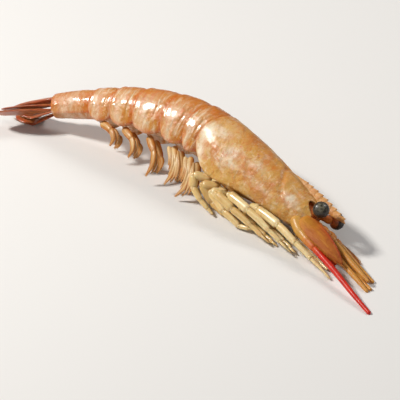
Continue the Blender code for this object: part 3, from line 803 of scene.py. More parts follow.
leg_material = limb_finish(
    "cream_leg", (0.74, 0.48, 0.145), (0.58, 0.31, 0.055), (0.90, 0.76, 0.44), (0.66, 0.24, 0.04),
    roughness=0.3, specks=0.25, ridges=0.4, strands=0.9,
)
swimmer_material = limb_finish(
    "swimming_leg", (0.52, 0.22, 0.02), (0.40, 0.12, 0.008), (0.78, 0.60, 0.30), (0.50, 0.09, 0.006),
    roughness=0.4, coat=0.1, specks=0.4, ridges=0.4, soft=0.08, strands=0.55,
)
leaf_material = limb_finish(
    "orange_leaf", (0.42, 0.105, 0.006), (0.32, 0.05, 0.002), (0.58, 0.24, 0.02), (0.42, 0.045, 0.002),
    roughness=0.52, coat=0.0, ridges=0.5, soft=0.04,
)
prong_material = limb_finish(
    "golden_feeler", (0.56, 0.21, 0.022), (0.48, 0.13, 0.012), (0.68, 0.38, 0.08), (0.50, 0.08, 0.006),
    roughness=0.36, coat=0.15, specks=0.3,
)
feeler_material = limb_finish(
    "red_feeler", (0.66, 0.022, 0.003), (0.52, 0.01, 0.002), (0.60, 0.31, 0.06), (0.62, 0.03, 0.004),
    roughness=0.4, coat=0.1, specks=0.0, soft=0.1, strands=0.0,
)
fan_material = limb_finish(
    "tail_fan", (0.42, 0.10, 0.022), (0.26, 0.045, 0.010), (0.60, 0.28, 0.10), (0.45, 0.05, 0.010),
    roughness=0.3, specks=0.6, ridges=0.5,
)
print("finishes:", ", ".join(material.name for material in bpy.data.materials))

# %% [markdown]
# ## The face inside the head shell
# In front the head shell is open, and a soft face fills it. Stalks and feelers grow out of it, so it closes the
# gaps between their roots. A short blunt tube inside the shell is enough, because only a little of it shows.

# %% Face
FACE_FRONT = -5.6
FACE_LENGTH = 15.6
FACE_ROWS = 40
FACE_PROFILE = (
    (-5.6, 1.6, 4.2, 1.2), (-5.2, 2.9, 5.4, 2.2), (-4.0, 4.0, 6.3, 3.0), (-1.0, 4.8, 7.0, 3.8), (4.0, 5.6, 7.6, 4.4),
    (10.0, 6.2, 8.0, 4.6),
)


def face_spot(angle, row):
    u = FACE_FRONT + FACE_LENGTH * (row / (FACE_ROWS - 1)) ** 1.3
    half_width, top, bottom = blend(FACE_PROFILE, u)
    a = math.radians(angle)
    swell = 1.0 + 0.06 * noise.noise(Vector((u * 0.5, math.cos(a) * 2, math.sin(a) * 2)))
    place = (u, half_width * math.sin(a) * swell, math.cos(a) * (top if abs(angle) < 90 else bottom) * swell)
    return on_prawn(*place), Vector(place) / 10, Vector((0.1, 0.15, 0.3))


bm = new_piece()
add_tube(bm, 48, FACE_ROWS, face_spot)
finish_piece(bm, "head_face", leaf_material, "shell", "carapace")

# %% [markdown]
# ## Eyes
# An eye is a dark ball on a short stalk. Its surface is hundreds of tiny lenses, too small to model, so they are
# a bump of the finish, and grey green specks gather in its middle. The stalk swells to a collar round the ball,
# and the ball is a little flattened, narrows towards the stalk and is orange there.

# %% Eye finish
EYE_BLACK = (0.020, 0.013, 0.008)
EYE_GREY = (0.15, 0.13, 0.08)
EYE_GREEN = (0.20, 0.19, 0.13)
STALK_ORANGE = (0.35, 0.10, 0.03)

eye = Finish("eye_black", Coat_Weight=0.25, Coat_Roughness=0.15, IOR=1.45)
pupil = eye.step(eye.height, 0.12, 0.27)
speckle = eye.step(eye.cells(26.0), 0.30, 0.12)
cloud = eye.step(eye.cloud(9.0, 3.0), 0.4, 0.6)
colour = eye.mix(eye.calc("MULTIPLY", pupil, cloud), EYE_BLACK, EYE_GREY)
colour = eye.mix(eye.calc("MULTIPLY", pupil, speckle), colour, EYE_GREEN)
colour = eye.mix(eye.calc("MULTIPLY", eye.red, eye.step(eye.cells(20.0), 0.1, 0.3)), colour, STALK_ORANGE)
eye_material = eye.wear(colour, eye.step(cloud, 0.0, 1.0, 0.34, 0.5), [(eye.cells(70.0), 0.35, 0.00006)])
print("eye finish", len(eye_material.node_tree.nodes), "nodes")

# %% Eyes
EYE_RADIUS = 3.0
EYE_FLATNESS = 0.86


def collar(angle, way):
    return 1.0 + 0.12 * hump(way, 5.0, 0.5)


def make_eye(label, side):
    stalk = ((-3.4, side * 1.2, 5.0), (-6.0, side * 1.6, 5.9), (-6.8, side * 2.6, 6.3), (-7.4, side * 4.1, 6.9))
    bm = new_piece()
    add_limb(bm, walk_path(stalk, (1.3, 1.25, 1.5, 1.9), 0.3), 24, shape=collar, paint=(0.35, 0.2, 0.3))
    finish_piece(bm, f"eye_stalk_{label}", leaf_material, "leg", f"eyestalk_{label}")

    bm = new_piece()
    body, paint = layers_of(bm)
    bmesh.ops.create_icosphere(bm, subdivisions=5, radius=EYE_RADIUS)
    centre, root = on_prawn(-8.0, side * 6.6, 7.75), on_prawn(-6.4, side * 1.3, 5.7)
    turn = (centre - root).to_track_quat("Z", "Y").to_matrix()
    for vert in bm.verts:
        local = vert.co.copy()
        local.z *= EYE_FLATNESS
        local.xy *= 1.0 - 0.35 * max(0.0, -local.z / EYE_RADIUS - 0.45)
        vert[body] = local / 10
        vert[paint] = Vector((0.0, held((-local.z - 0.9) / 0.6), 0.0))
        vert.co = centre + turn @ (local * MM)
    finish_piece(bm, f"eye_ball_{label}", eye_material, "eye", f"eye_{label}")


for label, side in SIDES:
    make_eye(label, side)

# %% [markdown]
# ## Blades: tail fan and the leaves beside the eyes
# A blade is a very flat tube. Its spine gives the length, a table of half widths the outline, and a facing
# direction the way it lies. Ribs are narrow ridges along it, and a fringe of fine bristles edges the thin side.

# %% Blade helper
EDGE_TESTS = ((-1, 0), (0, -0.5), (0, 0.5), (1, 0), (0.6, -0.42), (-0.6, -0.42))
BLADE_ROWS = 80
BLADE_SIDES = 40


def add_blade(bm, spine, half_widths, thickness, facing, cup, clearance, ribs, paint):
    """Adds a leaf shaped tube and returns edge(share of the length, place across), which gives points on it.

    ribs are (place across from -1 to 1, height in mm, half width as a share). clearance lifts the blade off the
    floor, in mm, and a row that would sink into the floor is lifted as a whole.
    """
    shares = [k / (len(spine) - 1) for k in range(len(spine))]
    lines = [(s, *p, h) for s, p, h in zip(shares, spine, half_widths)]
    widest = max(half_widths)
    stations = []
    for k in range(BLADE_ROWS):
        t = k / (BLADE_ROWS - 1)
        here = blend(lines, t)
        ahead = Vector(blend(lines, min(1.0, t + 0.02))[:3]) - Vector(blend(lines, max(0.0, t - 0.02))[:3])
        ahead.normalize()
        normal = (facing - ahead * facing.dot(ahead)).normalized()
        half = here[3] * math.sqrt(1 - (1 - min(1.0, (1.0 - t) * 14 + 0.05)) ** 2)
        thick = thickness * min(1.0, 0.35 + half / widest)
        stations.append((Vector(here[:3]), ahead.cross(normal), normal, half, thick))

    def place_of(row, s, up):
        centre, across, normal, half, thick = stations[row]
        return centre + across * (half * s) + normal * (thick * up - cup * half * s * s)

    lifts = [
        max(0.0, clearance * MM - min(bent(*place_of(k, s, up)).z for s, up in EDGE_TESTS))
        for k in range(BLADE_ROWS)
    ]

    def lifted(point, row):
        at = bent(*point)
        at.z = max(0.0, at.z + lifts[row])
        return at

    def spot(angle, row):
        a = math.radians(angle)
        s, up = math.sin(a), math.cos(a)
        t = row / (BLADE_ROWS - 1)
        height = 0.5 * math.copysign(abs(up) ** 0.8, up) * (1 - 0.25 * abs(s) ** 3)
        if abs(up) > 0.02:
            fade = min(1.0, 6 * (1 - t)) * (1 if up > 0 else 0.5)
            for at, tall, wide in ribs:
                height += math.copysign(tall / stations[row][4] * hump(s, at, wide) * fade, up)
        point = place_of(row, s, height)
        return lifted(point, row), Vector(point) / 10, Vector(paint(s, t, up))

    add_tube(bm, BLADE_SIDES, BLADE_ROWS, spot)

    def edge(t, s):
        row = min(BLADE_ROWS - 1, round(t * (BLADE_ROWS - 1)))
        return lifted(place_of(row, s, 0.0), row)

    return edge


print("a blade has", BLADE_SIDES * BLADE_ROWS, "vertices on its sides")

# %% Fringe helper
FRINGE_WIDTH = 0.07
FRINGE_LEAN = 0.75


def way_out(edge, t, side):
    """Direction from the middle of a blade to its edge."""
    return (edge(t, side) - edge(t, 0.0)).normalized()


def add_fringe(bm, edge, side, first, last, count, length):
    """Adds bristles along one edge of a blade, from share first to share last of its length."""
    for k in range(count):
        t = first + (last - first) * (k + random.uniform(-0.3, 0.3)) / count
        t = max(0.0, min(0.99, t))
        root = edge(t, side * 0.97)
        ahead = (edge(min(1.0, t + 0.05), 0.0) - edge(max(0.0, t - 0.05), 0.0)).normalized()
        direction = (way_out(edge, t, side) * (1 - FRINGE_LEAN) + ahead * FRINGE_LEAN).normalized()
        tip = root + direction * length * random.uniform(0.75, 1.1) * MM
        tip.z = max(tip.z, 0.00015)
        add_hair(bm, root, tip, FRINGE_WIDTH)


# %% [markdown]
# The tail fan is closed: the pointed middle plate lies on two pairs of blades. Two ribs run along the plate and
# each outer blade, one along each inner blade, and the blades end in bristles.

# %% Tail fan
TAIL_ROOT = RING_STARTS[-1] - 1.6
SPINE_POINTS = 9
POINT_SHARES = (0, 0.12, 0.22, 0.4, 0.62, 0.84, 1.0)
POINT_WIDTHS = (1.9, 2.2, 2.8, 2.6, 1.9, 1.1, 0.3)
BLADE_SHARES = (0, 0.1, 0.26, 0.48, 0.72, 0.9, 1.0)
# Each kind of blade: length, where its spine starts to the side and how far it spreads, its height and its drop
# in mm, half widths at BLADE_SHARES, thickness, clearance over the floor, and the places of its ribs.
FAN_BLADES = {
    "inner": (21.5, 1.8, 4.2, -0.2, 0.6, (0.7, 0.9, 1.9, 2.7, 2.6, 1.8, 0.6), 1.0, 1.5, (0.0,)),
    "outer": (23.0, 1.3, 7.3, -1.9, 1.2, (0.6, 0.8, 2.2, 3.6, 3.7, 2.8, 1.0), 1.1, 0.0, (-0.25, 0.4)),
}


def even_steps():
    return [k / (SPINE_POINTS - 1) for k in range(SPINE_POINTS)]


def evenly(shares, values):
    """Re-reads a row of values given at uneven shares of a length at even steps."""
    return [blend(tuple(zip(shares, values)), t) for t in even_steps()]


def fan_paint(ridges):
    """Paint of a fan blade: a painted highlight on the upper face of its ribs, pale root, red edges and end."""
    def paint(s, t, up):
        # Pale along the ribs on the upper face is a painted highlight.
        rib_highlight = max(hump(s, at, 0.12) for at in ridges)
        return 0.65 * rib_highlight * (up > 0) + 0.25 * (1 - t), 0.5 * abs(s) ** 4 + 0.3 * max(0.0, t - 0.7) / 0.3, 0.0
    return paint


def tail_point():
    spine = [Vector((TAIL_ROOT - 1.5 + 21.5 * t, 0.0, 2.55 - 0.75 * t)) for t in even_steps()]
    ribs = ((-0.45, 0.28, 0.14), (0.45, 0.28, 0.14), (0.0, -0.22, 0.16))
    bm = new_piece()
    edge = add_blade(
        bm, spine, evenly(POINT_SHARES, POINT_WIDTHS), thickness=2.0, facing=Vector((0, 0.1, 1)), cup=0.0,
        clearance=2.8, ribs=ribs, paint=fan_paint((-0.45, 0.45)),
    )
    for side in (-1, 1):
        add_fringe(bm, edge, side, 0.55, 0.97, 26, 1.1)
        for t in (0.72, 0.82, 0.91):
            root = edge(t, side * 0.9)
            along = (edge(t + 0.06, side) - edge(t - 0.06, side)).normalized()
            add_hair(bm, root, root + (along + way_out(edge, t, side) * 0.35) * 1.3 * MM, 0.16)
    finish_piece(bm, "tail_point", fan_material, "tail_fan", "telson")


def fan_blade(label, side, kind):
    length, start, spread, high, drop, widths, thickness, clearance, ridges = FAN_BLADES[kind]
    spine = [Vector((TAIL_ROOT + length * t, side * (start + spread * t), high - drop * t)) for t in even_steps()]
    bm = new_piece()
    edge = add_blade(
        bm, spine, evenly(BLADE_SHARES, widths), thickness,
        facing=Vector((0, 0.15, 1)) if side > 0 else Vector((0, 0.7, 0.8)), cup=0.1, clearance=clearance,
        ribs=[(at, 0.2, 0.13) for at in ridges] + [(side * 0.9, 0.12, 0.1)], paint=fan_paint(ridges),
    )
    for edge_side in (-1, 1):
        stiff = edge_side == side and kind == "outer"
        add_fringe(bm, edge, edge_side, 0.6 if stiff else 0.35, 0.93, 64, 1.3)
    finish_piece(bm, f"fan_blade_{kind}_{label}", fan_material, "tail_fan", f"{kind}_tail_blade_{label}")


tail_point()
for label, side in SIDES:
    for kind in FAN_BLADES:
        fan_blade(label, side, kind)

# %% [markdown]
# Beside each eye a stiff leaf points forward. A strong rib runs along its outer edge, and the rest of the leaf is
# thin, with bristles on the inner side. The near leaf bows outwards, and the far one is folded under the head.

# %% Leaves beside the eyes
LEAF_ROOT = -4.2
LEAF_LENGTH = 25.6
LEAF_WIDTHS = (2.2, 3.1, 3.5, 3.3, 2.5, 1.4, 0.4)


def near_leaf_point(t):
    """The near leaf's spine at a share of its length."""
    out = 5.7 + 2.5 * math.sin(math.pi * t * 0.8)
    return Vector((LEAF_ROOT - LEAF_LENGTH * t, out, 1.3 + 0.7 * math.sin(math.pi * t) - 2.7 * t))


def far_leaf_point(t):
    bow = math.sin(math.pi * t / 2)
    return Vector((LEAF_ROOT - LEAF_LENGTH * t, -6.6 + bow, 1.2 - 1.5 * bow))


def head_leaf(label, side, leaf_point, facing):
    def paint(s, t, up):
        outer = hump(s * side, -0.85, 0.22)
        middle = hump(s * side, 0.05, 0.3)
        pale = 0.5 * middle * (1 - t) + 0.9 * max(0.0, 1 - t * 3) + 0.1
        return min(1.0, pale), min(1.0, outer * (0.35 + t)) + 0.2 * abs(s) ** 6 * t, 0.0

    bm = new_piece()
    edge = add_blade(
        bm, [leaf_point(t) for t in even_steps()], evenly(BLADE_SHARES, LEAF_WIDTHS), thickness=1.15, facing=facing,
        cup=0.12, clearance=0.0, paint=paint,
        ribs=((-0.82 * side, 0.3, 0.11), (-0.5 * side, -0.08, 0.1), (0.1 * side, 0.14, 0.1), (0.5 * side, -0.06, 0.12)),
    )
    add_fringe(bm, edge, side, 0.3, 0.99, 90, 1.6)
    add_fringe(bm, edge, -side, 0.9, 0.99, 8, 1.2)
    finish_piece(bm, f"head_leaf_{label}", leaf_material, "antennal_scale", f"antennal_scale_{label}")


head_leaf("right", 1, near_leaf_point, Vector((0, 0.85, 0.5)))
head_leaf("left", -1, far_leaf_point, Vector((0, 0.71, 0.71)))

# %% [markdown]
# ## Feelers
# The long red feeler is a whip of hundreds of short rings on a stout smooth stalk, whose two low rims are where
# its joints meet. The rings are a shallow saw on the tube's radius. The short forked feelers have three thick
# joints and then two whips of the same kind, only thinner.

# %% Courses of the feelers
ANTENNA_RIGHT = (
    (-5.8, 5.6, -2.6), (-12.0, 6.6, -3.4), (-20.0, 7.6, -4.0), (-32.0, 9.4, -5.0), (-44.0, 11.4, -6.4),
    (-55.0, 13.2, -7.4),
)
ANTENNA_LEFT = (
    (-5.8, -1.6, -2.4), (-10.0, -1.2, -2.6), (-13.0, -0.8, -2.8), (-16.5, -0.2, -3.0), (-20.0, 0.4, -3.2),
    (-24.0, 1.0, -3.4),
)
FORK_RIGHT = (
    (-5.4, 2.2, 1.8), (-9.0, 2.5, 2.6), (-14.0, 2.7, 2.6), (-19.0, 2.9, 2.1), (-25.0, 3.2, 1.4),
    (-33.0, 3.6, 0.7), (-41.0, 4.2, 0.1),
)
FORK_LEFT = (
    (-5.4, -2.2, 1.8), (-9.0, -2.5, 2.6), (-14.0, -2.3, 2.7), (-19.0, -1.5, 2.3), (-25.0, -0.6, 1.7),
    (-33.0, 0.6, 1.2), (-41.0, 1.6, 0.9),
)
LASH_RIGHT = (
    (-19.0, 3.2, 0.8), (-21.4, 3.6, -0.7), (-26.0, 4.0, -1.1), (-32.0, 4.5, -1.6), (-38.0, 5.0, -2.1),
    (-44.0, 5.6, -2.7),
)
LASH_LEFT = (
    (-19.0, -1.5, 1.2), (-21.4, -1.2, -0.2), (-26.0, -0.5, -0.7), (-32.0, 0.8, -1.3), (-38.0, 2.8, -1.4),
    (-44.0, 4.6, -1.4),
)
print("the long feeler reaches", -ANTENNA_RIGHT[-1][0], "mm in front of the eye socket")

# %% Whips and joints
JOINT_SHIFT = 1.7
JOINT_SHAPE = ((0.0, 0.9), (0.1, 0.97), (0.45, 0.93), (0.8, 0.97), (0.93, 1.02), (1.0, 1.0))
WHIP_STEP = 0.28
WHIP_SIDES = 14
WHIP_PAINT = (0.6, 0.05, 0.2)


def whip_rings(pitch, depth):
    """Shallow rings around a whip, one every pitch millimetres."""
    return lambda angle, way: 1.0 - depth * (way / pitch % 1.0) ** 2


def joint_swell(stations):
    """Radius of a shell joint along its length: narrow where it starts, swollen at the far rim."""
    length = stations[-1][2]
    return lambda angle, way: blend(JOINT_SHAPE, way / length)


def add_joints(bm, joints, radii, paint, sides):
    """Adds overlapping shell joints from point to point."""
    for k, (a, b) in enumerate(zip(joints, joints[1:])):
        middle = tuple((x + y) / 2 for x, y in zip(a, b))
        stations = walk_path((a, middle, b), (radii[k], (radii[k] + radii[k + 1]) / 2, radii[k + 1]), 0.35)
        add_limb(bm, stations, sides, 1.0, k * JOINT_SHIFT, paint, joint_swell(stations))


def along_table(table, shares):
    """Points at shares of the way through a table of points."""
    rows = [(float(i), *p) for i, p in enumerate(table)]
    return [tuple(blend(rows, s)) for s in shares]


print("a joint starts at", JOINT_SHAPE[0][1], "of its radius and swells to", JOINT_SHAPE[4][1])


# %% Feelers
def stalk_rims(angle, way):
    return 1.0 + sum(0.07 * hump(way, at, 0.5) for at in (7.5, 12.5))


def stalk_paint(angle, share):
    return 2.0 - 1.7 * share, 0.0, 0.0


def whip_root_paint(angle, share):
    return max(0.0, 0.35 - share * 3), 0.0, 0.0


def long_feeler(label, socket, root, table):
    bm = new_piece()
    stalk = [socket, root, *along_table(table, (0.6, 1.2, 1.75))]
    add_limb(bm, walk_path(stalk, (2.3, 2.15, 2.0, 1.75, 1.4), 0.35), 28, paint=stalk_paint, shape=stalk_rims)
    whip = along_table(table, [1.6 + 3.4 * k / 9 for k in range(10)])
    sizes = [1.55 - 0.78 * (k / 9) ** 0.6 for k in range(10)]
    stations = walk_path(whip, sizes, WHIP_STEP)
    add_limb(bm, stations, WHIP_SIDES, paint=whip_root_paint, shape=whip_rings(0.85, 0.06))
    finish_piece(bm, f"long_feeler_{label}", feeler_material, "feeler", f"antenna_{label}")


def forked_feeler(label, socket, fork, lash):
    bm = new_piece()
    joints = [socket, *along_table(fork, (1.35, 2.25, 3.05))]
    add_joints(bm, joints, (1.6, 1.85, 1.6, 1.35), (0.45, 0.25, 0.3), 24)
    whip = along_table(fork, (2.9, 3.5, 4.0, 4.5, 5.0, 5.5, 6.0))
    stations = walk_path(whip, (1.15, 1.25, 1.2, 1.1, 1.0, 0.85, 0.6), WHIP_STEP)
    add_limb(bm, stations, WHIP_SIDES, paint=WHIP_PAINT, shape=whip_rings(0.7, 0.08))
    finish_piece(bm, f"forked_feeler_{label}", prong_material, "antennal_scale", f"antennule_{label}")

    bm = new_piece()
    stations = walk_path(lash, (0.85, 1.0, 1.05, 1.0, 0.85, 0.6), WHIP_STEP)
    add_limb(bm, stations, WHIP_SIDES, paint=WHIP_PAINT, shape=whip_rings(0.7, 0.08))
    finish_piece(bm, f"lower_feeler_{label}", prong_material, "antennal_scale", f"lower_lash_{label}")


long_feeler("right", (-0.5, 4.6, -0.6), ANTENNA_RIGHT[0], ANTENNA_RIGHT)
forked_feeler("right", (-3.6, 2.1, 1.6), FORK_RIGHT, LASH_RIGHT)
long_feeler("left", (-0.5, -4.6, -0.6), (-5.0, -2.6, -2.2), ANTENNA_LEFT)
forked_feeler("left", (-3.6, -2.1, 1.6), FORK_LEFT, LASH_LEFT)

# %% [markdown]
# ## Walking legs and mouth legs
# A leg is five shell tubes, each a little swollen where the next begins, with a soft paler ball between two of
# them. The first three pairs end in tiny pincers, the last two in a claw. The long pair in front of the legs
# belongs to the mouth and carries bristles. Some legs lie in shade and look darker, so each pair has a shade.

# %% Courses of the legs
RIGHT_LEGS = (
    ((21.0, 3.4, -9.6), (25.6, 7.6, -10.6), (14.0, 8.4, -9.8),
     (2.0, 7.4, -10.2), (-4.0, 6.8, -10.4), (-9.8, 6.2, -10.6)),
    ((25.6, 3.4, -10.6), (29.4, 8.2, -13.6), (20.0, 7.4, -13.6),
     (10.0, 6.2, -13.4), (4.0, 5.8, -13.4), (0.0, 5.4, -13.4)),
    ((29.4, 3.4, -10.8), (33.8, 5.0, -14.6), (24.0, 4.0, -16.4),
     (15.4, 3.2, -16.8), (11.6, 3.4, -14.8), (9.0, 4.0, -12.8)),
    ((33.6, 3.4, -10.9), (38.6, 5.2, -14.8), (32.0, 1.6, -17.4),
     (25.0, 1.0, -17.4), (21.0, 0.8, -17.0), (18.4, 0.6, -16.6)),
    ((38.0, 3.4, -11.0), (43.8, 5.6, -14.2), (40.6, 4.6, -17.8),
     (35.0, 4.0, -19.4), (31.0, 3.4, -19.8), (27.6, 3.0, -20.0)),
)
LEFT_LEGS = (
    ((21.4, -3.2, -10.2), (15.0, -0.6, -10.8), (5.0, 1.8, -10.0),
     (-3.0, 3.4, -9.9), (-7.0, 3.8, -9.8), (-10.0, 4.0, -9.7)),
    ((25.4, -3.4, -10.6), (21.6, -1.6, -13.1), (12.0, 1.4, -13.4),
     (5.0, 2.6, -12.9), (1.0, 3.0, -12.7), (-2.0, 3.4, -12.4)),
    ((29.0, -3.8, -11.0), (31.4, -6.2, -12.3), (38.0, -7.4, -13.4),
     (43.0, -10.4, -12.0), (46.4, -13.6, -9.6), (49.0, -16.0, -7.8)),
    ((33.4, -3.2, -11.0), (39.6, -2.2, -14.8), (34.0, -1.6, -16.6),
     (30.0, -1.6, -16.2), (28.0, -1.4, -15.8), (26.4, -1.2, -15.4)),
    ((38.2, -3.6, -11.0), (44.8, -4.6, -13.4), (48.4, -8.4, -14.0),
     (52.0, -13.0, -11.0), (54.0, -15.4, -9.2), (56.0, -17.4, -7.6)),
)
MOUTH_RIGHT = (
    (17.0, 3.6, -8.7), (13.0, 6.2, -7.5), (1.0, 7.2, -6.5), (-9.0, 7.4, -7.0), (-18.0, 7.4, -7.2), (-30.0, 7.6, -8.0),
)
MOUTH_LEFT = (
    (15.5, -3.6, -8.2), (10.0, -3.0, -7.9), (0.0, 0.2, -7.2), (-9.0, 1.8, -7.0), (-16.0, 3.2, -6.7), (-25.0, 4.8, -6.4),
)
print(len(RIGHT_LEGS), "pairs of legs and a pair of mouth legs")

# %% Links, pincers and bristles
LEG_SHADES = (0.05, 0.45, 0.2, 0.6, 0.35)
LEG_RADII = (1.1, 1.3, 1.15, 0.95, 0.9, 0.35)
LEG_SWELL = (1.3, 1.6, 1.42, 1.15, 1.0, 0.9)
MOUTH_RADII = (1.4, 1.5, 1.4, 1.25, 1.05, 0.4)
MOUTH_SWELL = (1.2, 1.4, 1.2, 1.0, 0.9, 0.8)
MOUTH_BRISTLES = 110
LEG_FLATNESS = 0.74


def round_corner(before, corner, after):
    """Where the middle of a bent joint really lies: a little inside the corner."""
    return tuple(c + (a - c) * 0.05 + (b - c) * 0.05 for a, c, b in zip(before, corner, after))


def leg_paint(shade):
    """Paint of a leg link: paler towards its end, orange at the rim, and darker all over by its shade."""
    def paint(angle, share):
        pale = (0.35 + 0.35 * share) * (1 - shade)
        return pale, 0.45 * max(0.0, share - 0.85) / 0.15, min(1.0, shade + 0.4 * max(0.0, 0.25 - share) / 0.25)
    return paint


def add_link(bm, k, joints, radii, swell, shade):
    """Adds link k of a leg, and the soft ball at its near end."""
    a, b = Vector(joints[k]), Vector(joints[k + 1])
    run = (b - a).normalized()
    a, b = a - run * radii[k] * 0.35, b + run * radii[k + 1] * 0.3
    bow = (a + b) / 2 + Vector((0.0, 0.12, 0.12)) * (b - a).length / 10
    near_end, far_end = (radii[i] * swell[i] for i in (k, k + 1))
    sizes = (near_end * (0.84 if k else 1.0), (near_end + far_end) * 0.48, far_end)
    stations = walk_path((tuple(a), tuple(bow), tuple(b)), sizes, 0.35)
    add_limb(bm, stations, 18, LEG_FLATNESS, k * JOINT_SHIFT, leg_paint(shade), joint_swell(stations))
    if k:
        ball = [tuple(Vector(joints[k]) + run * s * radii[k]) for s in (-0.9, 0.0, 0.9)]
        add_limb(bm, walk_path(ball, [radii[k] * 0.9] * 3, 0.3), 16, paint=(0.4 * (1 - shade), 0.15, shade))


def add_pincer(bm, a, b, shade):
    """Adds two fingers side by side from a to b."""
    run = (b - a).normalized()
    apart = run.cross(Vector((0, 0, 1))).normalized()
    for way in (-1, 1):
        finger = (a - run * 0.3 + apart * way * 0.25, a.lerp(b, 0.5) + apart * way * 0.62, b + apart * way * 0.12)
        add_limb(bm, walk_path([tuple(p) for p in finger], (0.5, 0.42, 0.14), 0.25), 12, paint=leg_paint(shade))


def add_leg_bristles(bm, joints, radii, count):
    for k in range(count):
        t = 1.0 + 4.0 * (k + random.random()) / count
        i = min(len(joints) - 2, int(t))
        a, b = Vector(joints[i]), Vector(joints[i + 1])
        run = (b - a).normalized()
        out = Vector((0.0, random.uniform(-0.6, 0.6), random.choice((-1.0, 1.0)))).normalized()
        radius = (radii[i] + (radii[i + 1] - radii[i]) * (t - i)) * 0.9
        root = a.lerp(b, t - i) + out * radius * 0.8
        tip = root + (out * 0.55 + run * 0.8) * random.uniform(0.9, 1.7)
        add_hair(bm, on_prawn(*root), on_prawn(*tip), 0.06)


# %% Legs
def make_leg(name, joints, radii, swell, node, shade=0.0, pincer=False, bristles=0):
    corners = [round_corner(*joints[k - 1:k + 2]) for k in range(1, len(joints) - 1)]
    joints = [joints[0], *corners, joints[-1]]
    bm = new_piece()
    for k in range(len(joints) - (2 if pincer else 1)):
        add_link(bm, k, joints, radii, swell, shade)
    if pincer:
        add_pincer(bm, Vector(joints[-2]), Vector(joints[-1]), shade)
    add_leg_bristles(bm, joints, radii, bristles)
    finish_piece(bm, name, leg_material, "leg", node)


for label, legs, mouth in (("right", RIGHT_LEGS, MOUTH_RIGHT), ("left", LEFT_LEGS, MOUTH_LEFT)):
    for k, joints in enumerate(legs):
        node = f"walking_leg_{k + 1}_{label}"
        make_leg(f"leg_{k + 1}_{label}", joints, LEG_RADII, LEG_SWELL, node, LEG_SHADES[k], pincer=k < 3)
    node = f"maxilliped_{label}"
    make_leg(f"mouth_leg_{label}", mouth, MOUTH_RADII, MOUTH_SWELL, node, bristles=MOUTH_BRISTLES)

# %% [markdown]
# ## Swimming legs
# Under each of the first five tail rings hangs a pair of paddles: a stout stem that splits into two narrow
# curved blades. Both blades carry a fringe of bristles, which makes them look brushed. Under the first two rings
# the near paddles are frayed, so a few pale strands hang beside their blades.

# %% Stems, blades and strands of the paddles
STEM_RIGHT = ((0.0, 0.0, -1.2), (-3.2, 0.8, -4.0), (-6.8, 1.3, -7.2), (-8.6, 1.2, -11.4), (-7.4, 0.4, -16.0))
STEM_LEFT = ((0.0, 0.0, -1.2), (-2.4, 0.8, -4.0), (-4.8, 1.6, -7.0), (-5.0, 2.2, -10.0), (-3.0, 3.0, -13.0))
STEM_SIZES = (1.0, 0.95, 1.0, 0.75, 0.62)
BLADE_START = 1.55
# Each blade of a paddle: how its pattern is moved, the point of its stem's course that it reaches, its shift
# forwards, how far it stands off to the side, and its radii.
PADDLE_BLADES = (
    (1, 4.0, 0.1, 0.35, (0.9, 1.1, 1.15, 1.1, 1.02, 0.9, 0.72, 0.5, 0.2)),
    (-1, 3.5, -0.75, -0.3, (0.7, 0.85, 0.95, 0.92, 0.84, 0.72, 0.56, 0.38, 0.16)),
)
# Each strand of a frayed paddle: its shift along the body in mm, and how pale it is.
STRANDS = ((-2.9, 0.35), (-1.6, 1.0), (1.5, 1.0), (2.8, 0.3), (4.0, 0.9))
FRAYED = 2


def paddle_paint(pale):
    """Paint of a paddle: pale in the middle, red along its edges and towards its tip."""
    def paint(angle, share):
        across = abs(math.sin(math.radians(angle)))
        return (0.15 + 0.75 * hump(across, 0.0, 0.3)) * pale, 0.65 * across ** 4 + 0.25 * share ** 2, 0.0
    return paint


def notched(angle, way):
    return 1.0 - 0.05 * (way / 0.8 % 1.0) ** 2


def blade_course(table, side, reach, shift, apart):
    """Points of one blade of a paddle, beside the table of its stem."""
    points = []
    for k in range(9):
        s = BLADE_START + (reach - BLADE_START) * k / 8
        here, there = (Vector(p) for p in along_table(table, (s, min(4.0, s + 0.1))))
        back = Vector(along_table(table, (s - 0.1,))[0])
        across = (there - back).normalized().cross(Vector((0, 1, 0)))
        bow = across * shift * min(1.0, k / 3) * (1 + 0.08 * k)
        points.append(tuple(here + bow + Vector((0, side * apart * (0.6 + k * 0.08), 0))))
    return points


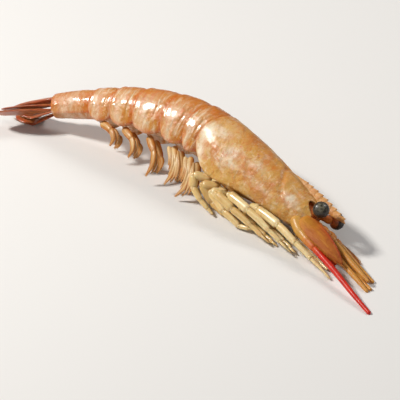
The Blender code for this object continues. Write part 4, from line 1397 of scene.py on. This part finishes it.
def blade_bristles(stations):
    """Roots and tips of the bristles along both edges of a blade."""
    found = []
    for k in range(8, len(stations) - 4):
        place, radius, _ = stations[k]
        ahead = (stations[k + 1][0] - stations[k - 1][0]).normalized()
        out = ahead.cross(SIDEWAYS).normalized()
        for edge in (-1, 1):
            root = place + out * edge * radius * 0.9 * MM
            run = ahead * 0.9 + out * edge * 0.3 + SIDEWAYS * random.uniform(-0.15, 0.15)
            found.append((root, root + run * random.uniform(0.7, 1.1) * MM))
    return found


def add_strand(bm, table, number, shift, pale):
    reach = 3.6 - 0.22 * abs(shift)
    course = along_table(table, [0.35 + (reach - 0.35) * k / 5 for k in range(6)])
    points = [
        tuple(Vector(p) + Vector((shift * (0.75 + 0.08 * k), 0.3, 0.06 * k * shift))) for k, p in enumerate(course)
    ]
    stations = walk_path(points, (0.6, 0.75, 0.8, 0.75, 0.6, 0.2), 0.3)
    paint = lambda angle, share: (pale * (1.0 - 0.4 * share), 0.3 * share, 0.0)
    add_limb(bm, stations, 14, 0.7, number + shift, paint)


# %% Swimming legs
def swimming_leg(number, label, side):
    u = RING_STARTS[number] + RING_LENGTHS[number] * 0.55
    depth = blend(BODY_PROFILE, u)[2]
    size = STEM_SIZES[number]
    tones = paddle_paint(0.9 if number < FRAYED else 0.4)
    table = [
        (u + along, side * (2.6 + out), -depth + down * (size if down < -2 else 1))
        for along, out, down in (STEM_RIGHT if side > 0 else STEM_LEFT)
    ]
    bm = new_piece()
    stem = along_table(table, (0.0, 0.5, 1.0, 1.5, 1.9))
    add_limb(bm, walk_path(stem, (1.3, 1.45, 1.5, 1.35, 1.1), 0.3), 20, 0.6, number * 2.0, tones)
    bristles = []
    for blade, reach, shift, apart, radii in PADDLE_BLADES:
        stations = walk_path(blade_course(table, side, reach, shift, apart), radii, 0.28)
        add_limb(bm, stations, 18, 0.36, number * 2.0 + blade, tones, notched)
        bristles += blade_bristles(stations)
    if number < FRAYED and side > 0:
        for shift, pale in STRANDS:
            add_strand(bm, table, number, shift, pale)
    for root, tip in bristles:
        add_hair(bm, root, tip, 0.05)
    node = f"swimming_leg_{number + 1}_{label}"
    finish_piece(bm, f"paddle_{number + 1}_{label}", swimmer_material, "swimmeret", node)


for number in range(5):
    for label, side in SIDES:
        swimming_leg(number, label, side)
